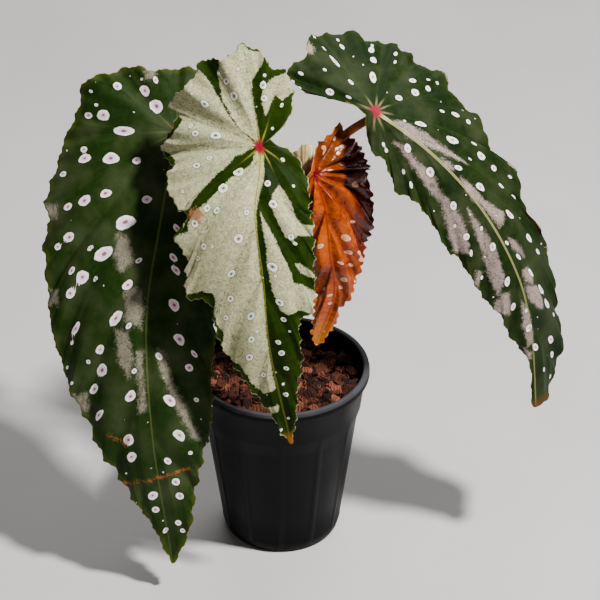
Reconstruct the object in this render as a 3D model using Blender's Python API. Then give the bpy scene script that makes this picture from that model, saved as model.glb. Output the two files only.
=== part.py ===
"""Potted begonia: four spotted angel-wing leaves on one cane, in a black nursery pot.

Frame: metres, +Z up, +Y away from the viewer, origin at the centre of the pot's underside.
Leaf outlines and stem routes are written in millimetres and scaled by MM.
"""
import math
import random

import bmesh
import bpy
import numpy as np
from mathutils import Matrix, Vector

MM = 0.001
SEED = 11
CLEARANCE = 0.3

# Pot, in millimetres
POT_HEIGHT = 130.0
RIM_RADIUS = 60.0
RIM_DEPTH = 6.0
WALL = 1.6
SHOULDER_TOP = 101.0
SHOULDER_BOTTOM = 92.0
SHOULDER_STEP = 1.0
FOOT_RADIUS = 40.0
BODY_TOP_RADIUS = 57.2
FLOOR = 5.0
FOOT_GROOVE = 2.5
FOOT_RINGS = (20.0, 22.0, 34.0, 35.0, 37.5, 39.6)
FOOT_ROUND = 2.2
FOOT_TOP = 8.0
WALL_STOP = 48.0
LIP_ROUND = 0.8
PANELS = 12
PANEL_DEPTH = 0.5
PANEL_SPAN = (0.1, 0.9)
POT_SIDES = 48
DRAIN_HOLES = 6
DRAIN_RADIUS = 4.0
DRAIN_REACH = 28.0
NOTCH_SIZE = (12.0, 12.0, 3.4)
NOTCH_REACH = 37.0
LUG_SIZE = (4.2, 6.0, 10.0)
LUG_INSET = 2.6
LUG_DROP = 4.0
LUG_ANGLE = 12.0

# Potting mix, in millimetres
SOIL_LEVEL = 120.0
SOIL_RINGS = 5
SOIL_SIDES = 30
SOIL_WAVE = 1.2
CHIPS = 58
CHIP_LENGTH = (6.0, 12.5)
CHIP_WIDTH = (0.5, 0.8)
CHIP_DEPTH = (0.4, 0.6)
CHIP_KNOCK = 0.22
CHIP_TILT = 0.6
CHIP_RISE = 0.12
CHIP_MARGIN = 6.5
GOLDEN_TURN = 2.39996
STEM_HOLE_DEPTH = 29.0

# Cane and leaf stalks, in millimetres
CANE_ROUTE = ((0, 0, 92), (0, 0, 120), (2, 3, 160), (5, 4, 205), (10, 5, 248), (16, 6, 284))
CANE_RADIUS = (4.6, 3.4)
CANE_NODES = (0.34, 0.56, 0.76, 0.97)
NODE_SWELL = 0.9
NODE_SHARE = 0.018
CANE_RINGS = 33
STALK_RADIUS = 2.6
STALK_TAPER = 0.85
YOUNG_STALK = 0.72
STALK_SEAT_GAP = 0.95
STALK_LEAD = 9.0
STALKS = {
    "leaf_left": ((5, 5, 211), (-14, 30, 236), (-42, 50, 264)),
    "leaf_centre": ((11, 5, 257), (1, 9, 279), (-7, 3, 297)),
    "leaf_right": ((15, 6, 276), (29, 9, 287), (44, 11, 302)),
    "leaf_young": ((14, 6, 266), (22, 2, 270)),
}
CANE_SIDES = 8

# Papery bract round the top of the cane, in millimetres and degrees from the left
BRACT_AXIS = (15.4, 6.0)
BRACT_FOOT = 276.0
BRACT_HEIGHT = (7.0, 19.0)
BRACT_RADIUS = 4.9
BRACT_FLARE = 5.0
BRACT_FLARE_TURN = 40.0
BRACT_TURN = (-45.0, 128.0)
BRACT_THICKNESS = 0.8

# Leaf blades, in millimetres
BLADE_THICKNESS = 0.8
RINGS = 6
RING_SPREAD = 1.5
VEIN_RAISE = 0.7
VEIN_REACH = 5.0
SWELL_REACH = 30.0
FOLD_REACH = 15.0
TOOTH_DEPTH = 1.4
TOOTH_FREE_SEAT = 16.0
TOOTH_FREE_TIP = 12.0
MARGIN_WAVE = 1.5
MARGIN_WAVE_STEP = 1.15

# A leaf's rib runs from the top of its lobes through the stalk's seat to its tip.
# Its outline is (along the rib, across it) about that seat, starting at the sinus.
LEAVES = {
    "leaf_left": {
        "rib": ((-60, 58, 322), (-67, 36, 288), (-77, -2, 244), (-86, -38, 191), (-83, -66, 115), (-72, -78, 22)),
        "across": ((1, 0.25, 0), (1, 0.25, 0), (1, 0.15, 0), (1, 0.05, 0), (1, 0, 0), (1, 0, 0)),
        "bend_radius": 130.0,
        "fold": (6.0, 6.0),
        "puff": 2.2,
        "veins": (-170, -128, -92, -62, -36, 28, 58, 98, 150),
        "colour": (0.018, 0.05, 0.012),
        "outline": (
            (-4, 6), (-15, 20), (-28, 24), (-38, 16), (-43, 2), (-37, -21), (-38, -34), (-32, -48),
            (-22, -66), (-6, -68), (14, -74), (40, -80), (60, -81), (70, -78), (85, -79), (95, -74),
            (112, -72), (134, -65), (153, -61), (179, -50), (208, -38), (237, -24), (259, -13), (290, -3),
            (299, 0), (294, 5), (274, 15), (242, 25), (222, 31), (211, 37), (195, 40), (178, 42),
            (154, 44), (136, 46), (110, 47), (80, 47), (52, 43), (26, 34), (8, 22), (0, 11)),
    },
    "leaf_centre": {
        "rib": ((-23, 12, 364), (-12, -22, 310), (-15, -50, 277), (-10, -66, 236), (-6, -75, 192), (7, -76, 122)),
        "across": ((1, -0.1, 0), (1, -0.1, 0), (1, 0, 0), (1, 0, 0), (1, 0, 0), (1, 0, 0)),
        "bend_radius": 120.0,
        "fold": (3.0, 3.0),
        "puff": 2.6,
        "veins": (-165, -135, -104, -76, -50, -26, 24, 52, 150),
        "colour": (0.035, 0.09, 0.02),
        "outline": (
            (-4, 7), (-9, 14), (-16, 21), (-26, 25), (-36, 25), (-44, 22), (-48, 14), (-56, 12),
            (-65, 0), (-58, -11), (-60, -28), (-48, -38), (-39, -57), (-28, -53), (-12, -66), (-5, -70),
            (5, -63), (14, -58), (26, -61), (37, -55), (45, -43), (54, -52), (66, -48), (81, -50),
            (98, -49), (98, -38), (112, -33), (125, -31), (137, -28), (150, -20), (166, -15), (182, -8),
            (200, -3), (207, 0), (200, 3), (175, 10), (159, 14), (146, 19), (126, 20), (116, 21),
            (110, 28), (102, 31), (78, 34), (54, 36), (37, 35), (22, 32), (12, 27), (3, 19), (0, 11)),
    },
    "leaf_right": {
        "rib": ((13, 17, 345), (60, -6, 326), (99, -16, 298), (131, -24, 261), (154, -30, 216),
                (164, -34, 172), (169, -36, 121)),
        "across": ((0.45, 0.65, 0.45), (0.5, 0.62, 0.45), (0.55, 0.6, 0.4), (0.62, 0.6, 0.3),
                   (0.7, 0.6, 0.2), (0.8, 0.55, 0.1), (0.85, 0.5, 0)),
        "bend_radius": 250.0,
        "fold": (20.0, 20.0),
        "puff": 2.0,
        "veins": (170, 132, 100, 70, 44, 22, -24, -52, -85),
        "colour": (0.02, 0.06, 0.015),
        "outline": (
            (-4, -5), (-12, -4), (-24, -5), (-34, -9), (-48, -12), (-57, -9), (-62, -6), (-58, 11),
            (-64, 23), (-62, 36), (-55, 44), (-46, 54), (-37, 53), (-29, 65), (-22, 68), (-15, 63),
            (-2, 65), (13, 62), (30, 67), (38, 58), (58, 55), (76, 46), (96, 53), (106, 47),
            (130, 40), (153, 46), (173, 37), (196, 38), (220, 33), (237, 21), (247, -1), (224, -2),
            (207, -5), (186, -15), (168, -19), (155, -25), (136, -28), (110, -30), (104, -33), (77, -30),
            (55, -29), (45, -33), (22, -22), (12, -22), (2, -13)),
    },
    "leaf_young": {
        "rib": ((32, 2, 310), (23, -12, 285), (29, -22, 265), (32, -30, 238), (35, -34, 207), (23, -36, 170)),
        "across": ((1, 0.35, 0), (1, 0.35, 0), (1, 0.35, 0), (1, 0.35, 0), (1, 0.3, 0), (1, 0.3, 0)),
        "bend_radius": 90.0,
        "fold": (48.0, 12.0),
        "puff": 2.4,
        "veins": (165, 128, 96, 70, 46, 22, -22, -48),
        "colour": (0.42, 0.08, 0.01),
        "outline": (
            (-2, -4), (-9, -4), (-18, -6), (-25, -1), (-32, 5), (-28, 12), (-22, 30), (-12, 38),
            (-3, 46), (8, 43), (18, 37), (25, 38), (38, 34), (51, 31), (65, 21), (80, 12),
            (90, 8), (109, 4), (122, 0), (107, -7), (99, -9), (77, -15), (64, -18), (49, -20),
            (35, -18), (20, -15), (8, -12), (3, -7)),
    },
}


def material(name, colour, roughness, metallic=0.0):
    """Return a plain Principled material."""
    made = bpy.data.materials.new(name)
    made.use_nodes = True
    shader = made.node_tree.nodes["Principled BSDF"]
    shader.inputs["Base Color"].default_value = (*colour, 1.0)
    shader.inputs["Roughness"].default_value = roughness
    shader.inputs["Metallic"].default_value = metallic
    return made


def add_object(name, points, faces, made_material=None):
    """Make a mesh object from points in millimetres."""
    mesh = bpy.data.meshes.new(name)
    mesh.from_pydata([tuple(p) for p in np.asarray(points, float) * MM], [], faces)
    mesh.validate()
    made = bpy.data.objects.new(name, mesh)
    bpy.context.scene.collection.objects.link(made)
    if made_material:
        mesh.materials.append(made_material)
    return made


def face_out(target):
    """Turn every face of one closed mesh outward."""
    shape = bmesh.new()
    shape.from_mesh(target.data)
    bmesh.ops.recalc_face_normals(shape, faces=shape.faces)
    shape.to_mesh(target.data)
    shape.free()


def boolean(target, operation, others, solver="EXACT"):
    """Join or cut the target with a list of objects, apply it and remove them."""
    group = bpy.data.collections.new(target.name + "_operands")
    bpy.context.scene.collection.children.link(group)
    for other in others:
        bpy.context.scene.collection.objects.unlink(other)
        group.objects.link(other)
    step = target.modifiers.new(operation.lower(), "BOOLEAN")
    step.operation = operation
    step.operand_type = "COLLECTION"
    step.collection = group
    step.solver = solver
    result = bpy.data.meshes.new_from_object(target.evaluated_get(bpy.context.evaluated_depsgraph_get()))
    target.modifiers.clear()
    target.data = result
    for other in others:
        bpy.data.objects.remove(other)
    bpy.data.collections.remove(group)


def ring_faces(rows, columns, closed_rows=False):
    """Quads between neighbouring rows of points, each row a closed ring."""
    faces = []
    last = rows if closed_rows else rows - 1
    for r in range(last):
        for c in range(columns):
            a = r * columns + c
            b = r * columns + (c + 1) % columns
            step = ((r + 1) % rows - r) * columns
            faces.append((a, b, b + step, a + step))
    return faces


def catmull(points, where):
    """Smooth curve through the points, read at fractional point numbers."""
    p = np.asarray(points, float)
    padded = np.vstack([2 * p[0] - p[1], p, 2 * p[-1] - p[-2]])
    start = np.clip(np.floor(where).astype(int), 0, len(p) - 2)
    f = (where - start)[:, None]
    a, b, c, d = padded[start], padded[start + 1], padded[start + 2], padded[start + 3]
    cubic = 3 * b - a - 3 * c + d
    return 0.5 * (2 * b + (c - a) * f + (2 * a - 5 * b + 4 * c - d) * f ** 2 + cubic * f ** 3)


def tube(name, route, radii, sides, rings):
    """Closed tube with flat caps along a smooth curve through the route."""
    where = np.linspace(0, len(route) - 1, rings)
    centres = catmull(route, where)
    tangents = np.gradient(centres, axis=0)
    tangents[-1] = np.subtract(route[-1], route[-2])
    tangents /= np.linalg.norm(tangents, axis=1)[:, None]
    side = np.array([0.0, 1.0, 0.0])
    points = []
    for centre, tangent, radius in zip(centres, tangents, radii):
        side = side - side.dot(tangent) * tangent
        side /= np.linalg.norm(side)
        up = np.cross(tangent, side)
        for k in range(sides):
            turn = 2 * math.pi * k / sides
            points.append(centre + radius * (math.cos(turn) * side + math.sin(turn) * up))
    faces = ring_faces(rings, sides)
    faces.append(tuple(reversed(range(sides))))
    faces.append(tuple(range((rings - 1) * sides, rings * sides)))
    made = add_object(name, points, faces)
    face_out(made)
    return made


def body_radius(height):
    """Outer radius of the plain tapered pot wall."""
    return FOOT_RADIUS + (BODY_TOP_RADIUS - FOOT_RADIUS) * height / POT_HEIGHT


def pot_profile():
    """Radius and height pairs from the underside's centre round to the inner floor."""
    rim_bottom = POT_HEIGHT - RIM_DEPTH
    inner_top = body_radius(POT_HEIGHT) - WALL
    hub, hub_top, groove_out, ring_in, ring_out, foot = FOOT_RINGS
    return (
        (hub, 0), (hub_top, FOOT_GROOVE), (groove_out, FOOT_GROOVE),
        (ring_in, 0), (ring_out, 0), (foot, FOOT_ROUND),
        (body_radius(FOOT_TOP), FOOT_TOP), (body_radius(WALL_STOP), WALL_STOP),
        (body_radius(SHOULDER_BOTTOM), SHOULDER_BOTTOM),
        (body_radius(SHOULDER_TOP) + SHOULDER_STEP, SHOULDER_TOP),
        (body_radius(rim_bottom) + SHOULDER_STEP, rim_bottom),
        (RIM_RADIUS - LIP_ROUND, rim_bottom), (RIM_RADIUS, rim_bottom + LIP_ROUND),
        (RIM_RADIUS, POT_HEIGHT - LIP_ROUND), (RIM_RADIUS - LIP_ROUND, POT_HEIGHT),
        (inner_top + LIP_ROUND, POT_HEIGHT), (inner_top, POT_HEIGHT - LIP_ROUND),
        (body_radius(WALL_STOP) - WALL, WALL_STOP),
        (body_radius(FLOOR) - WALL, FLOOR + LIP_ROUND), (body_radius(FLOOR) - WALL - LIP_ROUND, FLOOR),
    )


def panel_dip(turn, height):
    """Shallow flat panels on the outer wall below the shoulder."""
    if not FOOT_TOP <= height < SHOULDER_BOTTOM:
        return 0.0
    place = (turn * PANELS / (2 * math.pi)) % 1.0
    return PANEL_DEPTH if PANEL_SPAN[0] < place < PANEL_SPAN[1] else 0.0


def cylinder(name, radius, bottom, top, x=0.0, y=0.0, sides=16):
    """Closed upright cylinder, in millimetres."""
    points = []
    for height in (bottom, top):
        for k in range(sides):
            turn = 2 * math.pi * (k + 0.5) / sides
            points.append((x + radius * math.cos(turn), y + radius * math.sin(turn), height))
    faces = ring_faces(2, sides)
    faces.append(tuple(reversed(range(sides))))
    faces.append(tuple(range(sides, 2 * sides)))
    return add_object(name, points, faces)


def block(name, size, place, turn):
    """Closed box, turned about Z, in millimetres."""
    shape = bmesh.new()
    bmesh.ops.create_cube(shape, size=1.0)
    matrix = Matrix.Rotation(turn, 4, "Z") @ Matrix.Translation(Vector(place) * MM)
    matrix = matrix @ Matrix.Diagonal((*(Vector(size) * MM), 1.0))
    bmesh.ops.transform(shape, matrix=matrix, verts=shape.verts)
    mesh = bpy.data.meshes.new(name)
    shape.to_mesh(mesh)
    shape.free()
    made = bpy.data.objects.new(name, mesh)
    bpy.context.scene.collection.objects.link(made)
    return made


def make_pot():
    """Tapered pot with a turned-out rim, a stacking shoulder, panels and a notched foot."""
    profile = pot_profile()
    points = []
    for radius, height in profile:
        for k in range(POT_SIDES):
            turn = 2 * math.pi * k / POT_SIDES
            outside = radius > body_radius(height) - WALL / 2
            held = radius - (panel_dip(turn, height) if outside else 0.0)
            points.append((held * math.cos(turn), held * math.sin(turn), height))
    faces = ring_faces(len(profile), POT_SIDES)
    faces.append(tuple(reversed(range(POT_SIDES))))
    faces.append(tuple(range((len(profile) - 1) * POT_SIDES, len(profile) * POT_SIDES)))
    pot = add_object("pot", points, faces, material("black_pot_plastic", (0.012, 0.012, 0.013), 0.45))
    face_out(pot)
    cutters = []
    for k in range(DRAIN_HOLES):
        turn = 2 * math.pi * (k + 0.5) / DRAIN_HOLES
        x, y = DRAIN_REACH * math.cos(turn), DRAIN_REACH * math.sin(turn)
        hole = cylinder("drain", DRAIN_RADIUS, -FLOOR, 3 * FLOOR, x, y)
        notch = block("notch", NOTCH_SIZE, (NOTCH_REACH, 0, 0), turn)
        cutters += [hole, notch]
    boolean(pot, "DIFFERENCE", cutters)
    lug_place = (RIM_RADIUS - LUG_INSET, 0, POT_HEIGHT - RIM_DEPTH - LUG_DROP)
    lug = block("lug", LUG_SIZE, lug_place, math.radians(LUG_ANGLE))
    boolean(pot, "UNION", [lug])


def soil_height(x, y):
    """Gently uneven level of the potting mix, lower on the far right."""
    wave = SOIL_WAVE * np.sin(x / 13.0 + 0.6) * np.cos(y / 11.0)
    return SOIL_LEVEL + wave - 0.03 * x - 0.06 * y


def chip(name, rng, x, y):
    """One bark chip: a roughly cut lump lying half sunk in the mix."""
    shape = bmesh.new()
    bmesh.ops.create_icosphere(shape, subdivisions=1, radius=0.5)
    for vertex in shape.verts:
        vertex.co *= 1.0 + rng.uniform(-CHIP_KNOCK, CHIP_KNOCK)
    length = rng.uniform(*CHIP_LENGTH)
    size = (length, length * rng.uniform(*CHIP_WIDTH), length * rng.uniform(*CHIP_DEPTH))
    turn = Matrix.Rotation(rng.uniform(0, 2 * math.pi), 4, "Z")
    turn = turn @ Matrix.Rotation(rng.uniform(-CHIP_TILT, CHIP_TILT), 4, "X")
    turn = turn @ Matrix.Rotation(rng.uniform(-CHIP_TILT, CHIP_TILT), 4, "Y")
    place = Vector((x, y, soil_height(x, y) + CHIP_RISE * length)) * MM
    matrix = Matrix.Translation(place) @ turn @ Matrix.Diagonal((*(Vector(size) * MM), 1.0))
    bmesh.ops.transform(shape, matrix=matrix, verts=shape.verts)
    mesh = bpy.data.meshes.new(name)
    shape.to_mesh(mesh)
    shape.free()
    made = bpy.data.objects.new(name, mesh)
    bpy.context.scene.collection.objects.link(made)
    return made


def make_potting_mix():
    """Mix that fills the pot, its bark chips on top and the plain hole of the stem."""
    gap = WALL + CLEARANCE
    floor = FLOOR + CLEARANCE
    rows = [(body_radius(FLOOR) - gap - 4 * CLEARANCE, floor)]
    rows.append((body_radius(WALL_STOP) - gap - CLEARANCE, WALL_STOP))
    top_radius = body_radius(SOIL_LEVEL) - gap - 2 * CLEARANCE
    points = []
    for radius, height in rows:
        for k in range(SOIL_SIDES):
            turn = 2 * math.pi * k / SOIL_SIDES
            points.append((radius * math.cos(turn), radius * math.sin(turn), height))
    for ring in range(SOIL_RINGS, 0, -1):
        radius = top_radius * ring / SOIL_RINGS
        for k in range(SOIL_SIDES):
            turn = 2 * math.pi * k / SOIL_SIDES
            x, y = radius * math.cos(turn), radius * math.sin(turn)
            points.append((x, y, float(soil_height(x, y))))
    count = len(points) // SOIL_SIDES
    faces = ring_faces(count, SOIL_SIDES)
    faces.append(tuple(reversed(range(SOIL_SIDES))))
    centre = len(points)
    points.append((0, 0, float(soil_height(0, 0))))
    last = (count - 1) * SOIL_SIDES
    for k in range(SOIL_SIDES):
        faces.append((last + k, last + (k + 1) % SOIL_SIDES, centre))
    mix = add_object("potting_mix", points, faces, material("bark_potting_mix", (0.16, 0.05, 0.03), 0.9))
    face_out(mix)
    rng = random.Random(SEED)
    chips = []
    while len(chips) < CHIPS:
        reach = (top_radius - CHIP_MARGIN) * math.sqrt((len(chips) + 0.5) / CHIPS)
        turn = len(chips) * GOLDEN_TURN + rng.uniform(-0.3, 0.3)
        x, y = reach * math.cos(turn), reach * math.sin(turn)
        chips.append(chip("chip", rng, x, y))
    boolean(mix, "UNION", chips)
    hole_radius = CANE_RADIUS[0] + 2 * CLEARANCE
    hole = cylinder("stem_hole", hole_radius, SOIL_LEVEL - STEM_HOLE_DEPTH, POT_HEIGHT + FLOOR)
    boolean(mix, "DIFFERENCE", [hole])


def cane_radii(rings):
    """Cane thickness along its length, swollen at each node."""
    along = np.linspace(0, 1, rings)
    radii = CANE_RADIUS[0] + (CANE_RADIUS[1] - CANE_RADIUS[0]) * along
    for node in CANE_NODES:
        radii = radii + NODE_SWELL * np.exp(-((along - node) / NODE_SHARE) ** 2)
    return radii


def make_cane():
    """The jointed cane with its four leaf stalks, grown as one."""
    cane = tube("cane", CANE_ROUTE, cane_radii(CANE_RINGS), CANE_SIDES, CANE_RINGS)
    stalks = []
    for name, route in STALKS.items():
        length, place, run, side, face = rib_frame(LEAVES[name])
        seat = int(np.argmin(np.abs(length)))
        end = place[seat] - face[seat] * STALK_SEAT_GAP
        whole = (*route, end - face[seat] * STALK_LEAD, end)
        count = 3 * len(whole)
        slim = YOUNG_STALK if name == "leaf_young" else 1.0
        radii = STALK_RADIUS * slim * np.linspace(1.0, STALK_TAPER, count)
        stalks.append(tube("stalk", whole, radii, CANE_SIDES, count))
    boolean(cane, "UNION", stalks, "MANIFOLD")
    cane.data.materials.clear()
    cane.data.materials.append(material("brown_cane", (0.13, 0.03, 0.01), 0.5))


def bract_points(offset, rows, columns):
    """Sheath about the cane's axis: low and flared at the left, tall at the front."""
    points = []
    for a in np.linspace(0, 1, rows):
        for b in np.linspace(0, 1, columns):
            turn = BRACT_TURN[0] + (BRACT_TURN[1] - BRACT_TURN[0]) * b
            flare = BRACT_FLARE * a * math.exp(-(turn / BRACT_FLARE_TURN) ** 2)
            radius = BRACT_RADIUS + flare + offset
            height = BRACT_HEIGHT[0] + (BRACT_HEIGHT[1] - BRACT_HEIGHT[0]) * math.sin(math.pi * b / 1.5)
            x = BRACT_AXIS[0] - radius * math.cos(math.radians(turn))
            y = BRACT_AXIS[1] - radius * math.sin(math.radians(turn))
            points.append((x, y, BRACT_FOOT + a * height))
    return points


def make_bract():
    """Dry papery sheath that wraps the top of the cane."""
    rows, columns = 5, 11
    points = bract_points(BRACT_THICKNESS, rows, columns) + bract_points(0.0, rows, columns)
    shift = rows * columns
    faces = []
    for r in range(rows - 1):
        for c in range(columns - 1):
            a, b = r * columns + c, r * columns + c + 1
            faces.append((a, b, b + columns))
            faces.append((a, b + columns, a + columns))
            faces.append((shift + a, shift + b + columns, shift + b))
            faces.append((shift + a, shift + a + columns, shift + b + columns))
    border = list(range(columns))
    border += [r * columns + columns - 1 for r in range(1, rows)]
    border += [(rows - 1) * columns + c for c in range(columns - 2, -1, -1)]
    border += [r * columns for r in range(rows - 2, 0, -1)]
    for k, a in enumerate(border):
        b = border[(k + 1) % len(border)]
        faces.append((a, shift + a, shift + b, b))
    bract = add_object("bract", points, faces, material("papery_bract", (0.7, 0.53, 0.3), 0.7))
    face_out(bract)


def rib_frame(leaf):
    """Distance along the rib from the stalk's seat, with the rib's place, run, side and face."""
    where = np.linspace(0, len(leaf["rib"]) - 1, 300)
    place = catmull(leaf["rib"], where)
    side = catmull(leaf["across"], where)
    length = np.concatenate([[0], np.cumsum(np.linalg.norm(np.diff(place, axis=0), axis=1))])
    length = length - np.interp(1.0, where, length)
    run = np.gradient(place, length, axis=0)
    run /= np.linalg.norm(run, axis=1)[:, None]
    side = side - (side * run).sum(1)[:, None] * run
    side /= np.linalg.norm(side, axis=1)[:, None]
    return length, place, run, side, np.cross(run, side)


def blade_points(leaf, u, v, lift):
    """Place flat leaf coordinates in space: each half leans back, curls, and is lifted off by lift."""
    length, place, run, side, face = rib_frame(leaf)
    held = np.clip(u, length[0], length[-1])

    def read(rows):
        return np.stack([np.interp(held, length, rows[:, k]) for k in range(3)], -1)

    base = read(place) + (u - held)[:, None] * read(run)
    half = np.where(v < 0, -1.0, 1.0)
    lean = np.radians(np.where(v < 0, *leaf["fold"])) * np.clip(np.hypot(u, v) / FOLD_REACH, 0, 1)
    across, normal = read(side) * half[:, None], read(face)
    out = across * np.cos(lean)[:, None] - normal * np.sin(lean)[:, None]
    up = normal * np.cos(lean)[:, None] + across * np.sin(lean)[:, None]
    turn = np.abs(v) / leaf["bend_radius"]
    radius = leaf["bend_radius"]
    point = base + out * (radius * np.sin(turn))[:, None] - up * (radius * (1 - np.cos(turn)))[:, None]
    top = up * np.cos(turn)[:, None] + out * np.sin(turn)[:, None]
    return point + top * lift[:, None]


def toothed_outline(leaf, steps):
    """Outline read at even spacing; every second point steps out as a tooth."""
    outline = np.asarray(leaf["outline"] + leaf["outline"][:1], float)
    fine = catmull(outline, np.linspace(0, len(outline) - 1, 1200))
    length = np.concatenate([[0], np.cumsum(np.linalg.norm(np.diff(fine, axis=0), axis=1))])
    where = np.linspace(0, length[-1], steps, endpoint=False)
    edge = np.stack([np.interp(where, length, fine[:, k]) for k in range(2)], -1)
    ahead = np.roll(edge, -1, axis=0) - np.roll(edge, 1, axis=0)
    out = np.stack([-ahead[:, 1], ahead[:, 0]], -1) / np.linalg.norm(ahead, axis=1)[:, None]
    middle = edge.mean(axis=0)
    if ((edge - middle) * out).sum() < 0:
        out = -out
    near = np.linalg.norm(edge, axis=1) < TOOTH_FREE_SEAT
    tip = edge[:, 0] > fine[:, 0].max() - TOOTH_FREE_TIP
    depth = np.where(near | tip, 0.0, TOOTH_DEPTH) * np.where(np.arange(steps) % 2, 0.5, -0.5)
    return edge + out * depth[:, None]


def vein_nearness(leaf, u, v):
    """One on a main vein and falling to nought between two of them."""
    angle = np.degrees(np.arctan2(v, u))
    reach = np.hypot(u, v)
    nearest = np.full(u.shape, 1e3)
    for vein in (*leaf["veins"], 0):
        apart = np.abs((angle - vein + 180) % 360 - 180)
        nearest = np.minimum(nearest, np.radians(apart) * reach)
    return np.exp(-(nearest / VEIN_REACH) ** 2)


def make_leaf(name, leaf, steps):
    """Blade as one thin waved solid, its main veins raised on the underside."""
    edge = toothed_outline(leaf, steps)
    share = np.linspace(0, 1, RINGS + 1)[1:] ** RING_SPREAD
    u = np.concatenate([[0.0], (share[:, None] * edge[None, :, 0]).ravel()])
    v = np.concatenate([[0.0], (share[:, None] * edge[None, :, 1]).ravel()])
    on_vein = vein_nearness(leaf, u, v)
    swell = np.minimum(np.hypot(u, v) / SWELL_REACH, 1.0)
    rim_share = np.concatenate([[0.0], np.repeat(share, steps)])
    around = np.concatenate([[0.0], np.tile(np.arange(steps), RINGS)]) * MARGIN_WAVE_STEP
    wave = MARGIN_WAVE * np.sin(around) * rim_share ** 3
    middle = leaf["puff"] * swell * (1 - on_vein) + wave
    top = blade_points(leaf, u, v, middle + BLADE_THICKNESS / 2)
    under = blade_points(leaf, u, v, middle - BLADE_THICKNESS / 2 - VEIN_RAISE * on_vein * swell)
    shift = len(u)
    faces = []
    for k in range(steps):
        after = (k + 1) % steps
        faces.append((0, 1 + k, 1 + after))
        faces.append((shift, shift + 1 + after, shift + 1 + k))
        for ring in range(RINGS - 1):
            a, b = 1 + ring * steps + k, 1 + ring * steps + after
            c, d = b + steps, a + steps
            faces += [(a, d, c), (a, c, b)]
            faces += [(shift + a, shift + c, shift + d), (shift + a, shift + b, shift + c)]
        a, b = 1 + (RINGS - 1) * steps + k, 1 + (RINGS - 1) * steps + after
        faces += [(a, shift + a, shift + b), (a, shift + b, b)]
    points = np.concatenate([top, under])
    blade = add_object(name, points, faces, material(name + "_blade", leaf["colour"], 0.35))
    face_out(blade)


def main():
    """Build every piece of the potted plant."""
    for old in list(bpy.data.objects):
        bpy.data.objects.remove(old)
    make_pot()
    make_potting_mix()
    make_cane()
    make_bract()
    make_leaf("leaf_left", LEAVES["leaf_left"], 110)
    make_leaf("leaf_centre", LEAVES["leaf_centre"], 110)
    make_leaf("leaf_right", LEAVES["leaf_right"], 100)
    make_leaf("leaf_young", LEAVES["leaf_young"], 70)


main()
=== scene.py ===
"""Potted begonia: four spotted wing-shaped leaves on one cane in a black nursery pot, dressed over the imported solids.

The file is laid out as an add-on: settings, one operator for each group of pieces and one for the stage, a panel.
Lengths in the tables are millimetres, and MM turns them into metres.
"""
import math

import bmesh
import bpy
import numpy as np
from bpy.props import FloatProperty, FloatVectorProperty, IntProperty, PointerProperty
from mathutils import Matrix, Vector


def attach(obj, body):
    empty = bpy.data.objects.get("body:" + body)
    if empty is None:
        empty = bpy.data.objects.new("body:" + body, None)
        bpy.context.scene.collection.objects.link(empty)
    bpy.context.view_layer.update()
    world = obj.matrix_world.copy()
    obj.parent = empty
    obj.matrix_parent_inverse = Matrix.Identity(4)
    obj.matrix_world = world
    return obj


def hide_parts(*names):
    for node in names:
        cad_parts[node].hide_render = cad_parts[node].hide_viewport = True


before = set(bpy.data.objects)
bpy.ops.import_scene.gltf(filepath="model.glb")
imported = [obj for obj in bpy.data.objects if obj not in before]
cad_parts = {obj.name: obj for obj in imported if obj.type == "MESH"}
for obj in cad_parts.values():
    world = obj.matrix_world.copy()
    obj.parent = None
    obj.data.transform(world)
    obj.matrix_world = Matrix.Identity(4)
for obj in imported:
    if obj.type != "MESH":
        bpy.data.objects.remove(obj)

bl_info = {
    "name": "Potted begonia",
    "version": (1, 0, 0),
    "blender": (4, 5, 0),
    "location": "3D View > Sidebar > Begonia",
    "description": "Makes a spotted cane begonia in a nursery pot, with its stage",
    "category": "Add Mesh",
}

MM = 0.001
SEED = 11

# Pot
POT_HEIGHT = 130.0
FOOT_RADIUS = 40.0
BODY_TOP_RADIUS = 57.2
RIM_RADIUS = 60.0
RIM_DEPTH = 6.0
WALL = 1.6
SHOULDER = (92.0, 101.0)
SHOULDER_STEP = 1.0
FLOOR = 5.0
FOOT_GROOVE = 2.5
PANELS = 12
NOTCHES = 6
POT_SIDES = 288
LUG_ANGLE = 12.0

# Potting mix
SOIL_LEVEL = 120.0
SOIL_RADIUS = 53.5
FIBRES = 160

# Cane and leaf stalks
CANE_ROUTE = ((0, 0, 92), (0, 0, 120), (2, 3, 160), (5, 4, 205), (10, 5, 248), (16, 6, 284))
CANE_RADIUS = (4.6, 3.4)
CANE_NODES = (0.34, 0.56, 0.76, 0.97)
STALK_RADIUS = 3.1
STALK_SEAT_GAP = 0.95
STALKS = {
    "leaf_left": ((5, 5, 211), (-14, 30, 236), (-42, 50, 264)),
    "leaf_centre": ((11, 5, 257), (1, 9, 279), (-7, 3, 297)),
    "leaf_right": ((15, 6, 276), (29, 9, 287), (44, 11, 302)),
    "leaf_young": ((14, 6, 266), (22, 2, 270)),
}

BLADE_ROWS = 52

# Papery bract round the cane's top, turned in degrees from the left
BRACT_AXIS = (16.8, 6.0)
BRACT_FOOT = 276.0
BRACT_HEIGHT = (8.0, 25.0)
BRACT_RADIUS = 4.9
BRACT_FLARE = 5.0
BRACT_TURN = (-45.0, 150.0)

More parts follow.
